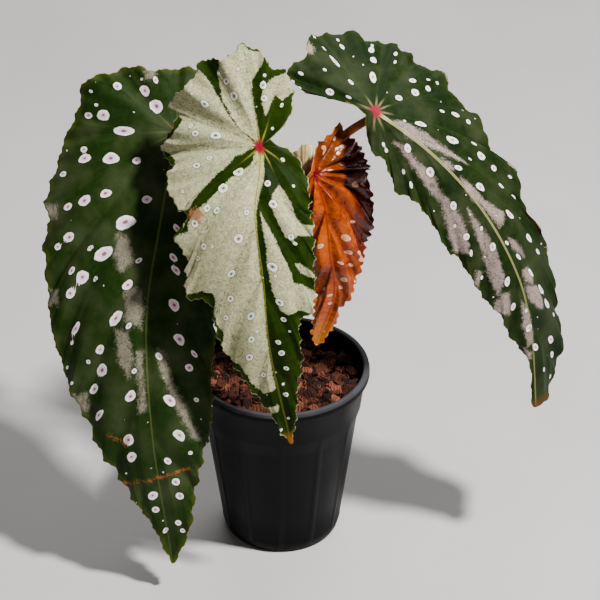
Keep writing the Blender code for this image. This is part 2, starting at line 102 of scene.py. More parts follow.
# Leaf blades. A rib runs from the top of the lobes through the stalk's seat to the tip.
# Outline, spots (along, across, radius) and patches are flat leaf millimetres about that seat.
# Shoulders are the two margin places where the side veins stop starting at the seat.
# The silver patches are partly silver under the skin and partly painted glare.
LEAVES = {
    "leaf_left": {
        "rib": ((-60, 58, 322), (-67, 36, 288), (-77, -2, 244), (-86, -38, 191), (-83, -66, 115), (-72, -78, 22)),
        "across": ((1, 0.25, 0), (1, 0.25, 0), (1, 0.15, 0), (1, 0.05, 0), (1, 0, 0), (1, 0, 0)),
        "bend_radius": 130.0,
        "fold": (6.0, 6.0),
        "puff": 2.2,
        "outline": (
            (-4, 6), (-15, 20), (-28, 24), (-38, 16), (-43, 2), (-37, -21), (-38, -34), (-32, -48),
            (-22, -66), (-6, -68), (14, -74), (40, -80), (60, -81), (70, -78), (85, -79), (95, -74),
            (112, -72), (134, -65), (153, -61), (179, -50), (208, -38), (237, -24), (259, -13), (290, -3),
            (299, 0), (294, 5), (274, 15), (242, 25), (222, 31), (211, 37), (195, 40), (178, 42),
            (154, 44), (136, 46), (110, 47), (80, 47), (52, 43), (26, 34), (8, 22), (0, 11)),
        "shoulders": ((112, -72), (80, 47)),
        "vein_ends": ((-30, 24), (-40, -6), (-32, -48), (14, -74), (62, -80), (112, -72), (153, -61), (190, -46),
                      (230, -28), (32, 37), (80, 47), (125, 46), (165, 43), (205, 38), (250, 22)),
        "spots": (
            (-23, -43, 3, 2.5), (-23, -25, 4, 3), (-14, -16, 5, 4), (-3, -49, 4.5, 3.5), (5, -34, 7, 3),
            (20, -59, 2.5, 2), (26, -57, 5, 3), (24, -39, 5.5, 3.5), (23, -22, 3, 2.5), (37, -71, 2.5, 2),
            (47, -38, 4, 2.5), (53, -52, 5, 3.5), (58, -64, 3.5, 2.5), (64, -22, 7, 4.5), (79, -59, 4, 3),
            (86, -66, 2.5, 2), (86, -33, 7, 4), (84, -42, 2.5, 1.5), (87, -9, 2.5, 1.5), (99, -53, 3, 2),
            (102, -45, 4.5, 3.5), (102, -36, 2, 1.5), (103, -14, 4, 2.5), (112, -52, 3.5, 2.5), (124, -20, 6, 3),
            (132, -48, 5.5, 2), (128, -11, 2.5, 1.5), (141, -51, 1.5, 1), (144, -31, 3.5, 2.5), (157, -30, 5, 3.5),
            (157, -8, 2, 1.5), (148, 8, 3, 2), (170, -37, 4.5, 2.5), (174, -12, 4.5, 3), (178, 13, 5, 3),
            (187, -34, 5, 2), (203, 17, 5, 3), (204, -16, 4.5, 3.5), (216, -15, 4, 3), (221, 8, 3, 2),
            (217, 23, 1.5, 1.5), (237, 11, 3, 2.5), (245, -5, 3.5, 3), (248, 12, 3, 2.5), (256, -5, 2.5, 2.5),
            (268, 8, 2.5, 2), (273, -1, 2.5, 1.5), (275, 10, 2, 1.5), (-17, -60, 1.5, 1), (-9, -55, 1.5, 1),
            (-2, -60, 3, 2), (-30, -28, 1, 1), (-31, -19, 2.5, 1.5), (152, -39, 1.5, 1.5), (157, -56, 1.5, 1),
            (166, -51, 1.5, 1), (47, -11, 3.5, 2.5), (62, 11, 3.5, 2), (81, 12, 3.5, 2), (89, 15, 4, 2),
            (113, 17, 5, 3.5), (137, 21, 5, 3), (148, 31, 3.5, 1.5), (157, 27, 3, 2.5), (181, 31, 2, 1.5)),
        "silver_and_glare": (
            ((-41, -28), (-41, -21), (-32, -19), (-30, -25)), ((71, -26), (74, -18), (88, -12), (96, -19), (86, -26)),
            ((105, -16), (104, -6), (116, -1), (129, -4), (126, -13)),
            ((130, -20), (132, -12), (150, -8), (162, -12), (150, -18)), ((144, -6), (144, -2), (185, -3), (185, -7)),
            ((143, 7), (145, 11), (162, 15), (195, 26), (211, 32), (209, 27), (179, 15), (156, 8)),
            ((58, -82), (57, -73), (67, -71), (68, -80)), ((112, -70), (111, -62), (119, -60), (120, -69)),
            ((174, -51), (173, -42), (185, -43), (186, -49))),
        "brown": (((236, -24), (237, -24), (229, 22), (228, 22)), ((201, -29), (209, -18), (208, -17), (200, -28))),
    },
    "leaf_centre": {
        "rib": ((-23, 12, 364), (-12, -22, 310), (-15, -50, 277), (-10, -66, 236), (-6, -75, 192), (7, -76, 122)),
        "across": ((1, -0.1, 0), (1, -0.1, 0), (1, 0, 0), (1, 0, 0), (1, 0, 0), (1, 0, 0)),
        "bend_radius": 120.0,
        "fold": (3.0, 3.0),
        "puff": 2.6,
        "outline": (
            (-4, 7), (-9, 14), (-16, 21), (-26, 25), (-36, 25), (-44, 22), (-48, 14), (-56, 12),
            (-65, 0), (-58, -11), (-60, -28), (-48, -38), (-39, -57), (-28, -53), (-12, -66), (-5, -70),
            (5, -63), (14, -58), (26, -61), (37, -55), (45, -43), (54, -52), (66, -48), (81, -50),
            (98, -49), (98, -38), (112, -33), (125, -31), (137, -28), (150, -20), (166, -15), (182, -8),
            (200, -3), (207, 0), (200, 3), (175, 10), (159, 14), (146, 19), (126, 20), (116, 21),
            (110, 28), (102, 31), (78, 34), (54, 36), (37, 35), (22, 32), (12, 27), (3, 19), (0, 11)),
        "shoulders": ((66, -48), (62, 35)),
        "vein_ends": ((-44, 22), (-63, 0), (-60, -28), (-39, -57), (-5, -70), (40, -47), (81, -50), (112, -33),
                      (137, -28), (166, -15), (22, 32), (62, 35), (102, 31), (146, 19), (175, 10)),
        "spots": (
            (13, -40, 2.5, 2.5), (6, -32, 2, 2), (17, -13, 3.5, 2.5), (29, -21, 3, 2.5), (32, -48, 1, 1),
            (41, -24, 2, 1.5), (40, -30, 2, 1.5), (47, -38, 2, 2), (60, -34, 2, 2), (60, -28, 1.5, 1),
            (67, -39, 1.5, 1.5), (57, -11, 3, 2.5), (79, -19, 3, 2), (96, -21, 2.5, 2), (77, 7, 3.5, 2.5),
            (83, 8, 1, 1), (23, 6, 2, 2), (36, 11, 3, 2.5), (60, 21, 2, 2), (8, 14, 1.5, 1), (100, 9, 3, 2),
            (42, -5, 1.5, 1.5), (22, 22, 1, 1), (65, 23, 1.5, 1), (108, -9, 3, 2), (109, -25, 2, 1.5),
            (123, -10, 2, 2), (135, -13, 2.5, 2), (150, -7, 2, 1.5), (118, -6, 1, 1), (112, 11, 2, 1.5),
            (127, 6, 2, 1.5), (135, 7, 2, 2), (147, 8, 2, 1.5), (159, 4, 1, 1), (167, 4, 2, 1.5), (186, 2, 1, 1),
            (193, -4, 1, 1), (121, 14, 1, 0.8), (-50, -5, 1, 1), (-44, -14, 2, 2), (-33, -30, 3, 2),
            (-34, -11, 3, 2.5), (-37, 8, 2.5, 2), (-29, 7, 2, 2), (-23, 17, 1.5, 1), (-43, 10, 1, 1),
            (-21, -43, 1.5, 1.5), (-15, -40, 2.5, 2), (-11, -27, 3.5, 2.5), (-50, -18, 1, 1), (-41, -37, 1, 0.8),
            (-10, 9, 1, 1)),
        "silver_and_glare": (
            ((-1, -2), (3, -9), (6, -16), (11, -19), (20, -27), (29, -34), (35, -39), (40, -42), (41, -46), (39, -57),
             (35, -61), (31, -60), (27, -66), (14, -58), (4, -57), (-4, -65), (-11, -71), (-17, -57), (-22, -51),
             (-27, -49), (-33, -56), (-41, -62), (-46, -48), (-58, -34), (-57, -32), (-46, -25), (-35, -21),
             (-23, -17), (-14, -12)),
            ((-2, -1), (-12, 0), (-34, 0), (-42, 2), (-49, 9), (-57, 13), (-60, 3), (-66, 0), (-64, -4), (-59, -7),
             (-59, -11), (-61, -15), (-55, -16), (-50, -19), (-33, -19), (-25, -16), (-14, -12)),
            ((-42, 24), (-36, 25), (-30, 26), (-26, 18), (-30, 14), (-24, 10), (-18, 6), (-25, 5), (-32, 6),
             (-39, 12), (-41, 17)),
            ((3, -3), (5, 2), (15, 3), (24, 3), (28, 2), (41, 1), (61, 0), (80, -1), (105, 0), (143, -1), (162, -1),
             (164, -10), (159, -14), (148, -17), (140, -21), (139, -29), (132, -33), (125, -29), (119, -27),
             (116, -30), (106, -33), (98, -31), (93, -33), (91, -40), (94, -50), (88, -54), (79, -54), (66, -50),
             (62, -54), (54, -52), (51, -43), (46, -42), (42, -39), (37, -30), (32, -25), (21, -16), (15, -9),
             (11, -5)),
            ((41, 3), (48, 4), (64, 5), (77, 4), (91, 5), (105, 9), (109, 14), (107, 21), (111, 32), (102, 34),
             (96, 32), (91, 24), (89, 19), (76, 16), (54, 9), (46, 5)),
            ((22, 13), (30, 10), (37, 9), (46, 13), (60, 18), (62, 22), (60, 25), (63, 38), (54, 39), (53, 30),
             (48, 26), (33, 22), (26, 17)),
            ((78, 21), (78, 24), (84, 31), (88, 33), (87, 29), (84, 24)),
            ((175, -9), (174, -2), (179, -3), (180, -8))),
        "brown": (((42, -42), (40, -37), (41, -33), (44, -32), (47, -36), (45, -41)),),
    },
    "leaf_right": {
        "rib": ((13, 17, 345), (60, -6, 326), (99, -16, 298), (131, -24, 261), (154, -30, 216),
                (164, -34, 172), (169, -36, 121)),
        "across": ((0.45, 0.65, 0.45), (0.5, 0.62, 0.45), (0.55, 0.6, 0.4), (0.62, 0.6, 0.3),
                   (0.7, 0.6, 0.2), (0.8, 0.55, 0.1), (0.85, 0.5, 0)),
        "bend_radius": 250.0,
        "fold": (20.0, 20.0),
        "puff": 2.0,
        "outline": (
            (-4, -5), (-12, -4), (-24, -5), (-34, -9), (-48, -12), (-57, -9), (-62, -6), (-58, 11),
            (-64, 23), (-62, 36), (-55, 44), (-46, 54), (-37, 53), (-29, 65), (-22, 68), (-15, 63),
            (-2, 65), (13, 62), (30, 67), (38, 58), (58, 55), (76, 46), (96, 53), (106, 47),
            (130, 40), (153, 46), (173, 37), (196, 38), (220, 33), (237, 21), (247, -1), (224, -2),
            (207, -5), (186, -15), (168, -19), (155, -25), (136, -28), (110, -30), (104, -33), (77, -30),
            (55, -29), (45, -33), (22, -22), (12, -22), (2, -13)),
        "shoulders": ((96, 53), (55, -29)),
        "vein_ends": ((-58, -6), (-62, 36), (-29, 65), (0, 65), (34, 63), (96, 53), (130, 40), (160, 43),
                      (196, 38), (228, 28), (12, -22), (50, -30), (104, -33), (155, -25), (186, -15)),
        "spots": (
            (-62, 29, 1.5, 1), (-50, 40, 1.5, 1), (-45, 36, 2.5, 1.5), (-52, 24, 2, 1), (-34, 62, 3, 1.5),
            (-31, 52, 1, 1), (-29, 47, 3, 2), (-23, 39, 3, 2.5), (-15, 24, 5, 2.5), (-41, 19, 6, 1.5),
            (-53, -3, 2, 1), (-42, 7, 1.5, 1), (-24, 10, 2.5, 1.5), (-55, -10, 1.5, 1), (-49, -12, 2, 1.5),
            (-31, -4, 3, 2), (-19, -1, 2, 0.8), (-14, 55, 2.5, 1.5), (-10, 47, 2, 1), (16, -14, 1.5, 1),
            (20, -16, 1.5, 1), (10, 41, 3, 2), (16, 34, 3.5, 2.5), (23, 45, 2.5, 2), (20, 51, 1.5, 1),
            (27, 55, 1.5, 1), (8, 21, 3, 2), (37, 33, 2, 1), (45, 39, 3, 1.5), (54, 43, 2, 1.5), (19, 7, 1, 1),
            (29, 13, 4.5, 2), (51, 20, 5, 2.5), (65, 34, 2.5, 1), (73, 30, 3.5, 2.5), (68, 21, 1.5, 1),
            (85, 33, 2.5, 2), (64, 6, 3, 1.5), (84, 11, 4, 2.5), (30, -7, 3, 2), (52, -9, 3.5, 2.5), (38, -20, 2, 1),
            (48, -23, 2.5, 1), (96, 29, 2.5, 1.5), (109, 35, 2.5, 1.5), (98, 42, 2, 0.8), (112, 19, 4.5, 2.5),
            (79, -13, 3, 2), (91, -20, 1.5, 1), (102, -18, 2.5, 2), (104, -7, 1.5, 1), (119, -7, 3, 2),
            (114, -21, 2.5, 1), (134, 25, 3.5, 2.5), (123, 3, 2, 1), (137, 8, 3, 1.5), (146, 28, 2.5, 1.5),
            (152, 13, 3.5, 2), (167, 18, 4.5, 2), (179, 21, 4.5, 2), (191, 28, 2, 1), (146, -8, 3.5, 2),
            (135, -22, 1.5, 1), (166, -9, 3, 1.5), (172, -1, 1.5, 1), (185, -1, 3, 2), (206, 21, 4, 2),
            (201, 2, 3.5, 2), (219, 23, 3, 2), (222, 9, 2, 1.5), (233, 18, 2, 1.5)),
        "silver_and_glare": (
            ((13, 2), (18, 6), (27, 7), (35, 9), (42, 10), (55, 13), (69, 15), (57, 9), (41, 2), (25, -1)),
            ((52, 2), (56, 4), (61, 4), (63, 2), (56, 0)),
            ((69, 3), (78, 6), (84, 5), (93, 6), (103, 11), (108, 14), (111, 9), (111, 4), (96, 2), (79, -1)),
            ((20, -9), (28, -7), (42, -10), (57, -9), (64, -13), (83, -13), (95, -15), (113, -22), (108, -29),
             (94, -27), (73, -18), (56, -17), (33, -12)),
            ((86, -7), (98, -7), (118, -6), (126, -7), (143, -9), (152, -17), (140, -18), (123, -15), (104, -12)),
            ((153, -14), (154, -9), (171, -12), (169, -15), (167, -19), (163, -23), (157, -19)),
            ((127, -23), (132, -21), (136, -25), (139, -27), (136, -28)),
            ((164, -3), (174, 1), (196, 1), (198, -3), (182, -5)), ((198, -7), (204, -1), (209, -2), (204, -5)),
            ((145, 5), (149, 13), (155, 13), (158, 10), (153, 4)),
            ((156, 3), (162, 14), (172, 16), (179, 15), (175, 9), (165, 3)),
            ((121, 6), (126, 10), (135, 13), (141, 14), (130, 6))),
        "brown": (((28, 65), (31, 70), (33, 64)), ((92, 52), (96, 58), (101, 54), (97, 50)),
                  ((152, 45), (155, 54), (159, 47)), ((-61, 13), (-62, 22), (-56, 19), (-55, 13))),
    },
    "leaf_young": {
        "rib": ((27, 2, 310), (23, -12, 285), (29, -22, 265), (32, -30, 238), (35, -34, 207), (23, -36, 170)),
        "across": ((1, 0.35, 0), (1, 0.35, 0), (1, 0.35, 0), (1, 0.35, 0), (1, 0.3, 0), (1, 0.3, 0)),
        "bend_radius": 90.0,
        "fold": (48.0, 12.0),
        "puff": 5.2,
        "pleat": 3.0,
        "swell": 11.0,
        "calm": 0.5,
        "outline": (
            (-2, -3), (-9, -2), (-18, -1), (-26, 4), (-34, 10), (-28, 17), (-22, 31), (-15, 38),
            (-6, 42), (4, 42), (16, 38), (25, 38), (38, 34), (51, 31), (65, 21), (80, 12),
            (90, 8), (109, 4), (122, 0), (107, -7), (99, -9), (77, -15), (64, -18), (49, -20),
            (35, -18), (20, -15), (8, -12), (3, -7)),
        "shoulders": ((51, 31), (35, -18)),
        "vein_ends": ((-20, -2), (-31, 12), (-18, 35), (2, 43), (28, 37), (56, 26), (76, 14), (96, 7),
                      (10, -12), (35, -18), (64, -18), (90, -12)),
        "spots": (
            (-2, 9, 1.5, 1), (-8, 19, 2, 1.5), (16, 26, 2.5, 1.5), (18, 32, 2, 1), (47, -4, 2, 1.5),
            (56, 12, 2.5, 1.5), (59, 19, 3, 1.5), (64, 19, 2, 1.5), (66, 13, 1.5, 1), (60, 4, 2, 1), (72, 5, 2, 1.5),
            (78, 4, 1.5, 1), (83, -2, 1.5, 1), (89, -1, 1.5, 1), (80, -7, 2.5, 1), (36, 19, 1.5, 1), (44, 10, 3.5, 2),
            (59, -10, 2.5, 1.5), (-24, 10, 1.5, 1), (-17, 2, 1.5, 1), (-14, 3, 2, 1), (-15, 12, 1.5, 1),
            (-20, 16, 1.5, 1)),
        "silver_and_glare": (),
        "brown": (),
    },
}


# Finish of each blade: flesh dark and light, silver (partly silver under the skin, partly painted glare), underside;
# spot rim, inside and centre; vein far and near the seat; margin band, edge line, tip and scars. Shares are how
# strongly a thing shows: rib and vein near the seat and far off, and their widths are half widths there. Spots lean
# off the rib by lean degrees, at the seat and 110 mm on. The haze share is the strength of a painted sheen in the
# silver tone. The young leaf's lobe tone is painted shade on its base, its flank tone the painted shadow of the right
# leaf on its far side, and its dark veins are partly vein colour and partly painted shade in the pleat folds.
FINISH = {
    "leaf_left": {
        "flesh": ("#132706", "#24350B", "#948B78", "#5A191B"),
        "spots": ("#FBF4F2", "#F0D2DC", "#8A4A64"), "lean": (85.0, 38.0), "seat": "#7E0A26",
        "veins": ("#34501C", "#7E8A4C"), "vein_share": (0.16, 0.1), "rib_share": (0.5, 0.45), "near": 30.0,
        "vein_width": (0.6, 0.3), "rib_width": 0.85,
        "margin": ("#3A4410", "#7A6A3C", "#3A4A10", "#A0522A"), "tip": 6.0,
        "silver_share": 0.66, "silver_break": 16.0, "silver_soft": 2.0, "painted_sheen": 0.1,
        "teeth": (15.5, 2.6, 5.0, 0.7), "specks": 90, "sheen": 0.1},
    "leaf_centre": {
        "flesh": ("#0D1C01", "#223306", "#B4B288", "#5A1A1A"),
        "spots": ("#FAFAF0", "#C4C8B0", "#3C4628"), "lean": (60.0, 45.0), "seat": "#860626",
        "veins": ("#3E5618", "#B4AC3C"), "vein_share": (0.5, 0.1), "rib_share": (1.0, 0.3), "near": 21.0,
        "vein_width": (0.42, 0.25), "rib_width": 1.35,
        "margin": ("#263A06", "#A8A47C", "#A0621E", "#8E5A3C"), "tip": 11.0,
        "silver_share": 0.97, "silver_break": 6.0, "silver_soft": 0.5, "painted_sheen": 0.0,
        "teeth": (11.5, 2.6, 4.2, 1.0), "specks": 40, "sheen": 0.05},
    "leaf_right": {
        "flesh": ("#091A03", "#1F2D08", "#96857C", "#5C1C18"),
        "spots": ("#FAF2EE", "#F2E2E2", "#A07078"), "lean": (35.0, 26.0), "seat": "#8A0424",
        "veins": ("#2E4A1A", "#CFC684"), "vein_share": (0.22, 0.1), "rib_share": (1.0, 0.5), "near": 16.0,
        "vein_width": (0.62, 0.22), "rib_width": 1.1,
        "margin": ("#223208", "#6A5A38", "#5E3A1C", "#9A9078"), "tip": 8.0,
        "silver_share": 0.9, "silver_break": 12.0, "silver_soft": 1.5, "painted_sheen": 0.06,
        "teeth": (14.0, 1.9, 4.6, 0.5), "specks": 110, "sheen": 0.1},
    "leaf_young": {
        "flesh": ("#6A1C02", "#BC5404", "#E8B49A", "#6A140C"),
        "spots": ("#E8A888", "#E09A78", "#E09A78"), "lean": (60.0, 35.0), "seat": "#5E0610",
        # dark veins: partly vein colour, partly painted shade in the pleat folds
        "veins": ("#5A1204", "#A8240E"), "vein_share": (0.55, 0.35), "rib_share": (0.7, 0.45), "near": 16.0,
        "vein_width": (0.4, 0.2), "rib_width": 0.8,
        "margin": ("#A04A08", "#C2705A", "#C87408", "#A04A08"), "tip": 24.0,
        "silver_share": 0.0, "silver_break": 2.0, "silver_soft": 0.3, "painted_sheen": 0.0,
        # lobe: painted shade on the base; flank: the painted shadow of the right leaf on the far side
        "teeth": (5.4, -2.4, 2.7, 0.2), "specks": 16, "sheen": 0.1, "lobe": "#602A04", "flank": "#4A0A02"},
}


def linear(colour):
    """Linear RGBA of an sRGB hex colour."""
    parts = [int(colour[k:k + 2], 16) / 255 for k in (1, 3, 5)]
    return tuple(p / 12.92 if p <= 0.04045 else ((p + 0.055) / 1.055) ** 2.4 for p in parts) + (1.0,)


def node(tree, kind, links=None, **settings):
    """Add one shader node: settings are its properties, links its inputs by name or number."""
    made = tree.nodes.new("ShaderNode" + kind)
    for key, value in settings.items():
        setattr(made, key, value)
    for key, value in (links or {}).items():
        if isinstance(value, bpy.types.NodeSocket):
            tree.links.new(value, made.inputs[key])
        else:
            made.inputs[key].default_value = value
    return made


def new_material(name, **shader_values):
    """Material with one Principled shader whose plain values are set on its own sockets."""
    made = bpy.data.materials.new(name)
    made.use_nodes = True
    shader = made.node_tree.nodes["Principled BSDF"]
    for key, value in shader_values.items():
        shader.inputs[key.replace("_", " ")].default_value = value
    return made, made.node_tree, shader


def add_piece(name, points, faces, material, node_name, smooth=True):
    """Mesh object from points in millimetres, riding on the body and standing for one CAD node."""
    mesh = bpy.data.meshes.new(name)
    mesh.from_pydata((np.asarray(points) * MM).tolist(), [], np.asarray(faces).tolist() if len(faces) else [])
    mesh.polygons.foreach_set("use_smooth", np.full(len(mesh.polygons), smooth))
    mesh.materials.append(material)
    made = bpy.data.objects.new(name, mesh)
    bpy.context.scene.collection.objects.link(made)
    finish_piece(made, node_name)
    return made


def finish_piece(made, node_name):
    """Tell the frame what the piece rides on, and hide the CAD part that it stands for."""
    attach(made, "root")
    if node_name:
        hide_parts(node_name)


def catmull(points, where):
    """Smooth cubic curve through the points, read at fractional point numbers."""
    p = np.asarray(points, float)
    padded = np.vstack([2 * p[0] - p[1], p, 2 * p[-1] - p[-2]])
    start = np.clip(np.floor(where).astype(int), 0, len(p) - 2)
    f = (where - start)[:, None]
    a, b, c, d = padded[start], padded[start + 1], padded[start + 2], padded[start + 3]
    cubic = 3 * b - a - 3 * c + d
    return 0.5 * (2 * b + (c - a) * f + (2 * a - 5 * b + 4 * c - d) * f ** 2 + cubic * f ** 3)


def path_length(points):
    """Distance along a line of points, from its first."""
    return np.concatenate([[0], np.cumsum(np.linalg.norm(np.diff(points, axis=0), axis=1))])


def rib_frame(leaf):
    """Distance along the rib from the stalk's seat, with the rib's place, run, side and face."""
    where = np.linspace(0, len(leaf["rib"]) - 1, 300)
    place = catmull(leaf["rib"], where)
    side = catmull(leaf["across"], where)
    length = path_length(place)
    length = length - np.interp(1.0, where, length)
    run = np.gradient(place, length, axis=0)
    run /= np.linalg.norm(run, axis=1)[:, None]
    side = side - (side * run).sum(1)[:, None] * run
    side /= np.linalg.norm(side, axis=1)[:, None]
    return length, place, run, side, np.cross(run, side)


def blade_points(leaf, flat, lift):
    """Flat leaf points in space: each half leans back from the rib, curls on the bend radius, and rises by lift."""
    length, place, run, side, face = rib_frame(leaf)
    u, v = flat[:, 0], flat[:, 1]
    held = np.clip(u, length[0], length[-1])
    read = [np.stack([np.interp(held, length, rows[:, k]) for k in range(3)], -1) for rows in (place, run, side, face)]
    base = read[0] + (u - held)[:, None] * read[1]
    half = np.where(v < 0, -1.0, 1.0)
    lean = np.radians(np.where(v < 0, leaf["fold"][0], leaf["fold"][1])) * np.clip(np.hypot(u, v) / 15.0, 0, 1)
    across, normal = read[2] * half[:, None], read[3]
    out = across * np.cos(lean)[:, None] - normal * np.sin(lean)[:, None]
    up = normal * np.cos(lean)[:, None] + across * np.sin(lean)[:, None]
    radius = leaf["bend_radius"]
    turn = np.abs(v) / radius
    point = base + out * (radius * np.sin(turn))[:, None] - up * (radius * (1 - np.cos(turn)))[:, None]
    top = up * np.cos(turn)[:, None] + out * np.sin(turn)[:, None]
    return point + top * lift[:, None]


def nearest_on_line(points, line):
    """Least distance from each point to a line of straight pieces, and the share of the line where it falls."""
    start, run = line[:-1], np.diff(line, axis=0)
    along = ((points[:, None] - start) * run).sum(2) / np.maximum((run ** 2).sum(1), 1e-9)
    along = np.clip(along, 0, 1)
    apart = np.linalg.norm(points[:, None] - start - along[..., None] * run, axis=2)
    best = apart.argmin(1)
    rows = np.arange(len(points))
    return apart[rows, best], (best + along[rows, best]) / len(start)


def patch_depth(points, corners):
    """Distance in from a patch's border, negative outside, by counting the sides that lie ahead of each point."""
    ring = np.asarray(corners + corners[:1], float)
    apart = nearest_on_line(points, ring)[0]
    x, y = points[:, :1], points[:, 1:]
    x0, y0, x1, y1 = ring[:-1, 0], ring[:-1, 1], ring[1:, 0], ring[1:, 1]
    rise = np.where(y1 == y0, 1e-9, y1 - y0)
    ahead = ((y0 > y) != (y1 > y)) & (x < (x1 - x0) * (y - y0) / rise + x0)
    return np.where(ahead.sum(1) % 2 == 1, apart, -apart)


def blade_grid(leaf, teeth_rule, rows, step, rng):
    """Flat grid of a blade: along each line the place is (1 - f) * root + f * margin, bowed out a little at mid length.

    A line's root is the stalk's seat in the lobes. Past the shoulders it climbs the rib as length * t ** 1.4, where t
    is the share of the margin between shoulder and tip, so the lines run as the side veins do. The margin steps out
    by -depth * |sin| into teeth (round ones where the depth is negative), and f ** 7 keeps that at the edge.
    """
    outline = np.asarray(leaf["outline"] + leaf["outline"][:1], float)
    fine = catmull(outline, np.linspace(0, len(outline) - 1, 6000))
    arc = path_length(fine)
    tip = int(fine[:, 0].argmax())
    stops = [0.0]
    for shoulder in leaf["shoulders"]:
        stops.append(arc[np.linalg.norm(fine - shoulder, axis=1).argmin()])
    stops = [0.0, stops[1], arc[tip], stops[2], arc[-1]]
    side = int(max(stops[2] - stops[1], stops[3] - stops[2]) / step)
    counts = (int(stops[1] / step), side, side, int((stops[4] - stops[3]) / step))
    place = np.concatenate([np.linspace(a, b, n, endpoint=False) for a, b, n in zip(stops, stops[1:], counts)])
    climb = np.arange(side) / side
    share = np.concatenate([np.zeros(counts[0]), climb, 1 - climb, np.zeros(counts[3])])
    margin = np.stack([np.interp(place, arc, fine[:, k]) for k in range(2)], -1)
    root = np.stack([fine[tip, 0] * share ** 1.4, 0 * share], -1)
    t = np.linspace(0, 1, rows + 1)
    f = (t - 0.07 * np.sin(2 * math.pi * t))[:, None, None]
    reach = np.linalg.norm(margin - root, axis=1)
    flat = (1 - f) * root + f * margin
    bow = np.sign(margin[:, 1]) * 0.2 * reach * np.clip(share * 6, 0, 1) * np.clip((1 - share) * 6, 0, 1)
    flat[..., 1] += (bow * f[..., 0] * (1 - f[..., 0]) * leaf.get("bow", 0.8))
    plain = flat.copy()
    ahead = np.roll(margin, -1, axis=0) - np.roll(margin, 1, axis=0)
    ahead /= np.maximum(np.linalg.norm(ahead, axis=1), 1e-9)[:, None]
    area = (margin[:, 0] * np.roll(margin[:, 1], -1) - margin[:, 1] * np.roll(margin[:, 0], -1)).sum()
    out = np.stack([ahead[:, 1], -ahead[:, 0]], -1) * np.sign(area)
    turn = 2 * math.pi * place / arc[-1]
    warped = turn + 0.012 * np.sin(7 * turn + rng.uniform(0, 6)) + 0.006 * np.sin(17 * turn + rng.uniform(0, 6))
    coarse, coarse_depth, small, small_depth = teeth_rule
    big = np.abs(np.sin(round(arc[-1] / coarse) * warped / 2))
    little = np.abs(np.sin(round(arc[-1] / small) * warped / 2))
    vary = 0.75 + 0.25 * np.sin(11 * turn + rng.uniform(0, 6)) * np.sin(5 * turn + rng.uniform(0, 6))
    teeth = vary * coarse_depth * (0.6 - big) + small_depth * (0.6 - little)
    calm = np.clip(np.linalg.norm(margin, axis=1) / 16 - 0.6, 0, 1) * np.clip(
        np.linalg.norm(margin - fine[tip], axis=1) / 7, 0, 1)
    flat = flat + f ** 7 * (out * (teeth * calm)[:, None])
    edge = (1 - f[..., 0]) * reach * np.abs((((margin - root) / np.maximum(reach, 1e-6)[:, None]) * out).sum(1))
    return plain, flat, margin, f[..., 0] + 0 * edge, edge, turn, arc[-1]


def vein_paths(leaf, finish, plain, margin):
    """Vein lines with half widths and strength: main veins follow grid lines, and forks slide off them to both sides."""
    wide, thin = finish["vein_width"]
    rows, columns = plain.shape[:2]
    ends = sorted(int(np.linalg.norm(margin - end, axis=1).argmin()) for end in leaf["vein_ends"])
    last = int(rows * 0.97)
    veins = []
    for number, column in enumerate(ends):
        veins.append((plain[:last:3, column], wide, thin, 1.0))
        for way in (-1, 1):
            if not 0 <= number + way < len(ends):
                continue
            gap = (ends[number + way] - column) * way
            for start, spread in ((0.34, 0.36), (0.62, 0.18)):
                first = int(rows * start)
                steps = np.arange(first, last, 3)
                slide = column + way * gap * spread * ((steps - first) / (last - first)) ** 0.85
                low = np.floor(slide).astype(int)
                part = (slide - low)[:, None]
                line = plain[steps, low % columns] * (1 - part) + plain[steps, (low + 1) % columns] * part
                veins.append((line, wide * 0.5, thin * 0.6, 0.5))
    return veins


def spot_fields(leaf, finish, flat, margin, rng):
    """Depth inside the nearest spot, and the place in it as shares of its half length and half width.

    Each spot is an ellipse drawn out along the side veins. Tiny specks are strewn between the spots of the table.
    """
    spots = [tuple(spot) for spot in leaf["spots"]]
    low, high = margin.min(0), margin.max(0)
    for _ in range(finish["specks"]):
        place = rng.uniform(low, high)
        clear = min(math.hypot(place[0] - s[0], place[1] - s[1]) - s[2] for s in spots)
        if clear > 5.0:
            size = rng.uniform(0.35, 0.8)
            spots.append((place[0], place[1], size, size * 0.8))
    depth = np.full(len(flat), -20.0)
    within = np.zeros((len(flat), 3))
    for x, y, long, short in spots:
        lean = math.radians(np.interp(x, (0, 110), finish["lean"]))
        run = np.array([math.cos(lean), math.sin(lean) * np.sign(y)])
        if x < 0:
            run = np.array([x, y]) / math.hypot(x, y)
        away = flat - (x, y)
        bend = rng.uniform(-0.3, 0.3) * (long > 3.0)
        local = np.stack([away @ run / long, away @ np.array([-run[1], run[0]]) / short], -1)
        local[:, 1] += bend * (np.minimum(local[:, 0] ** 2, 2) - 0.4)
        inside = (1 - np.linalg.norm(local, axis=1)) * math.sqrt(long * short)
        nearer = inside > depth
        depth = np.where(nearer, inside, depth)
        within[nearer, :2] = local[nearer]
        within[nearer, 2] = float(short > 1.2)
    return depth, within


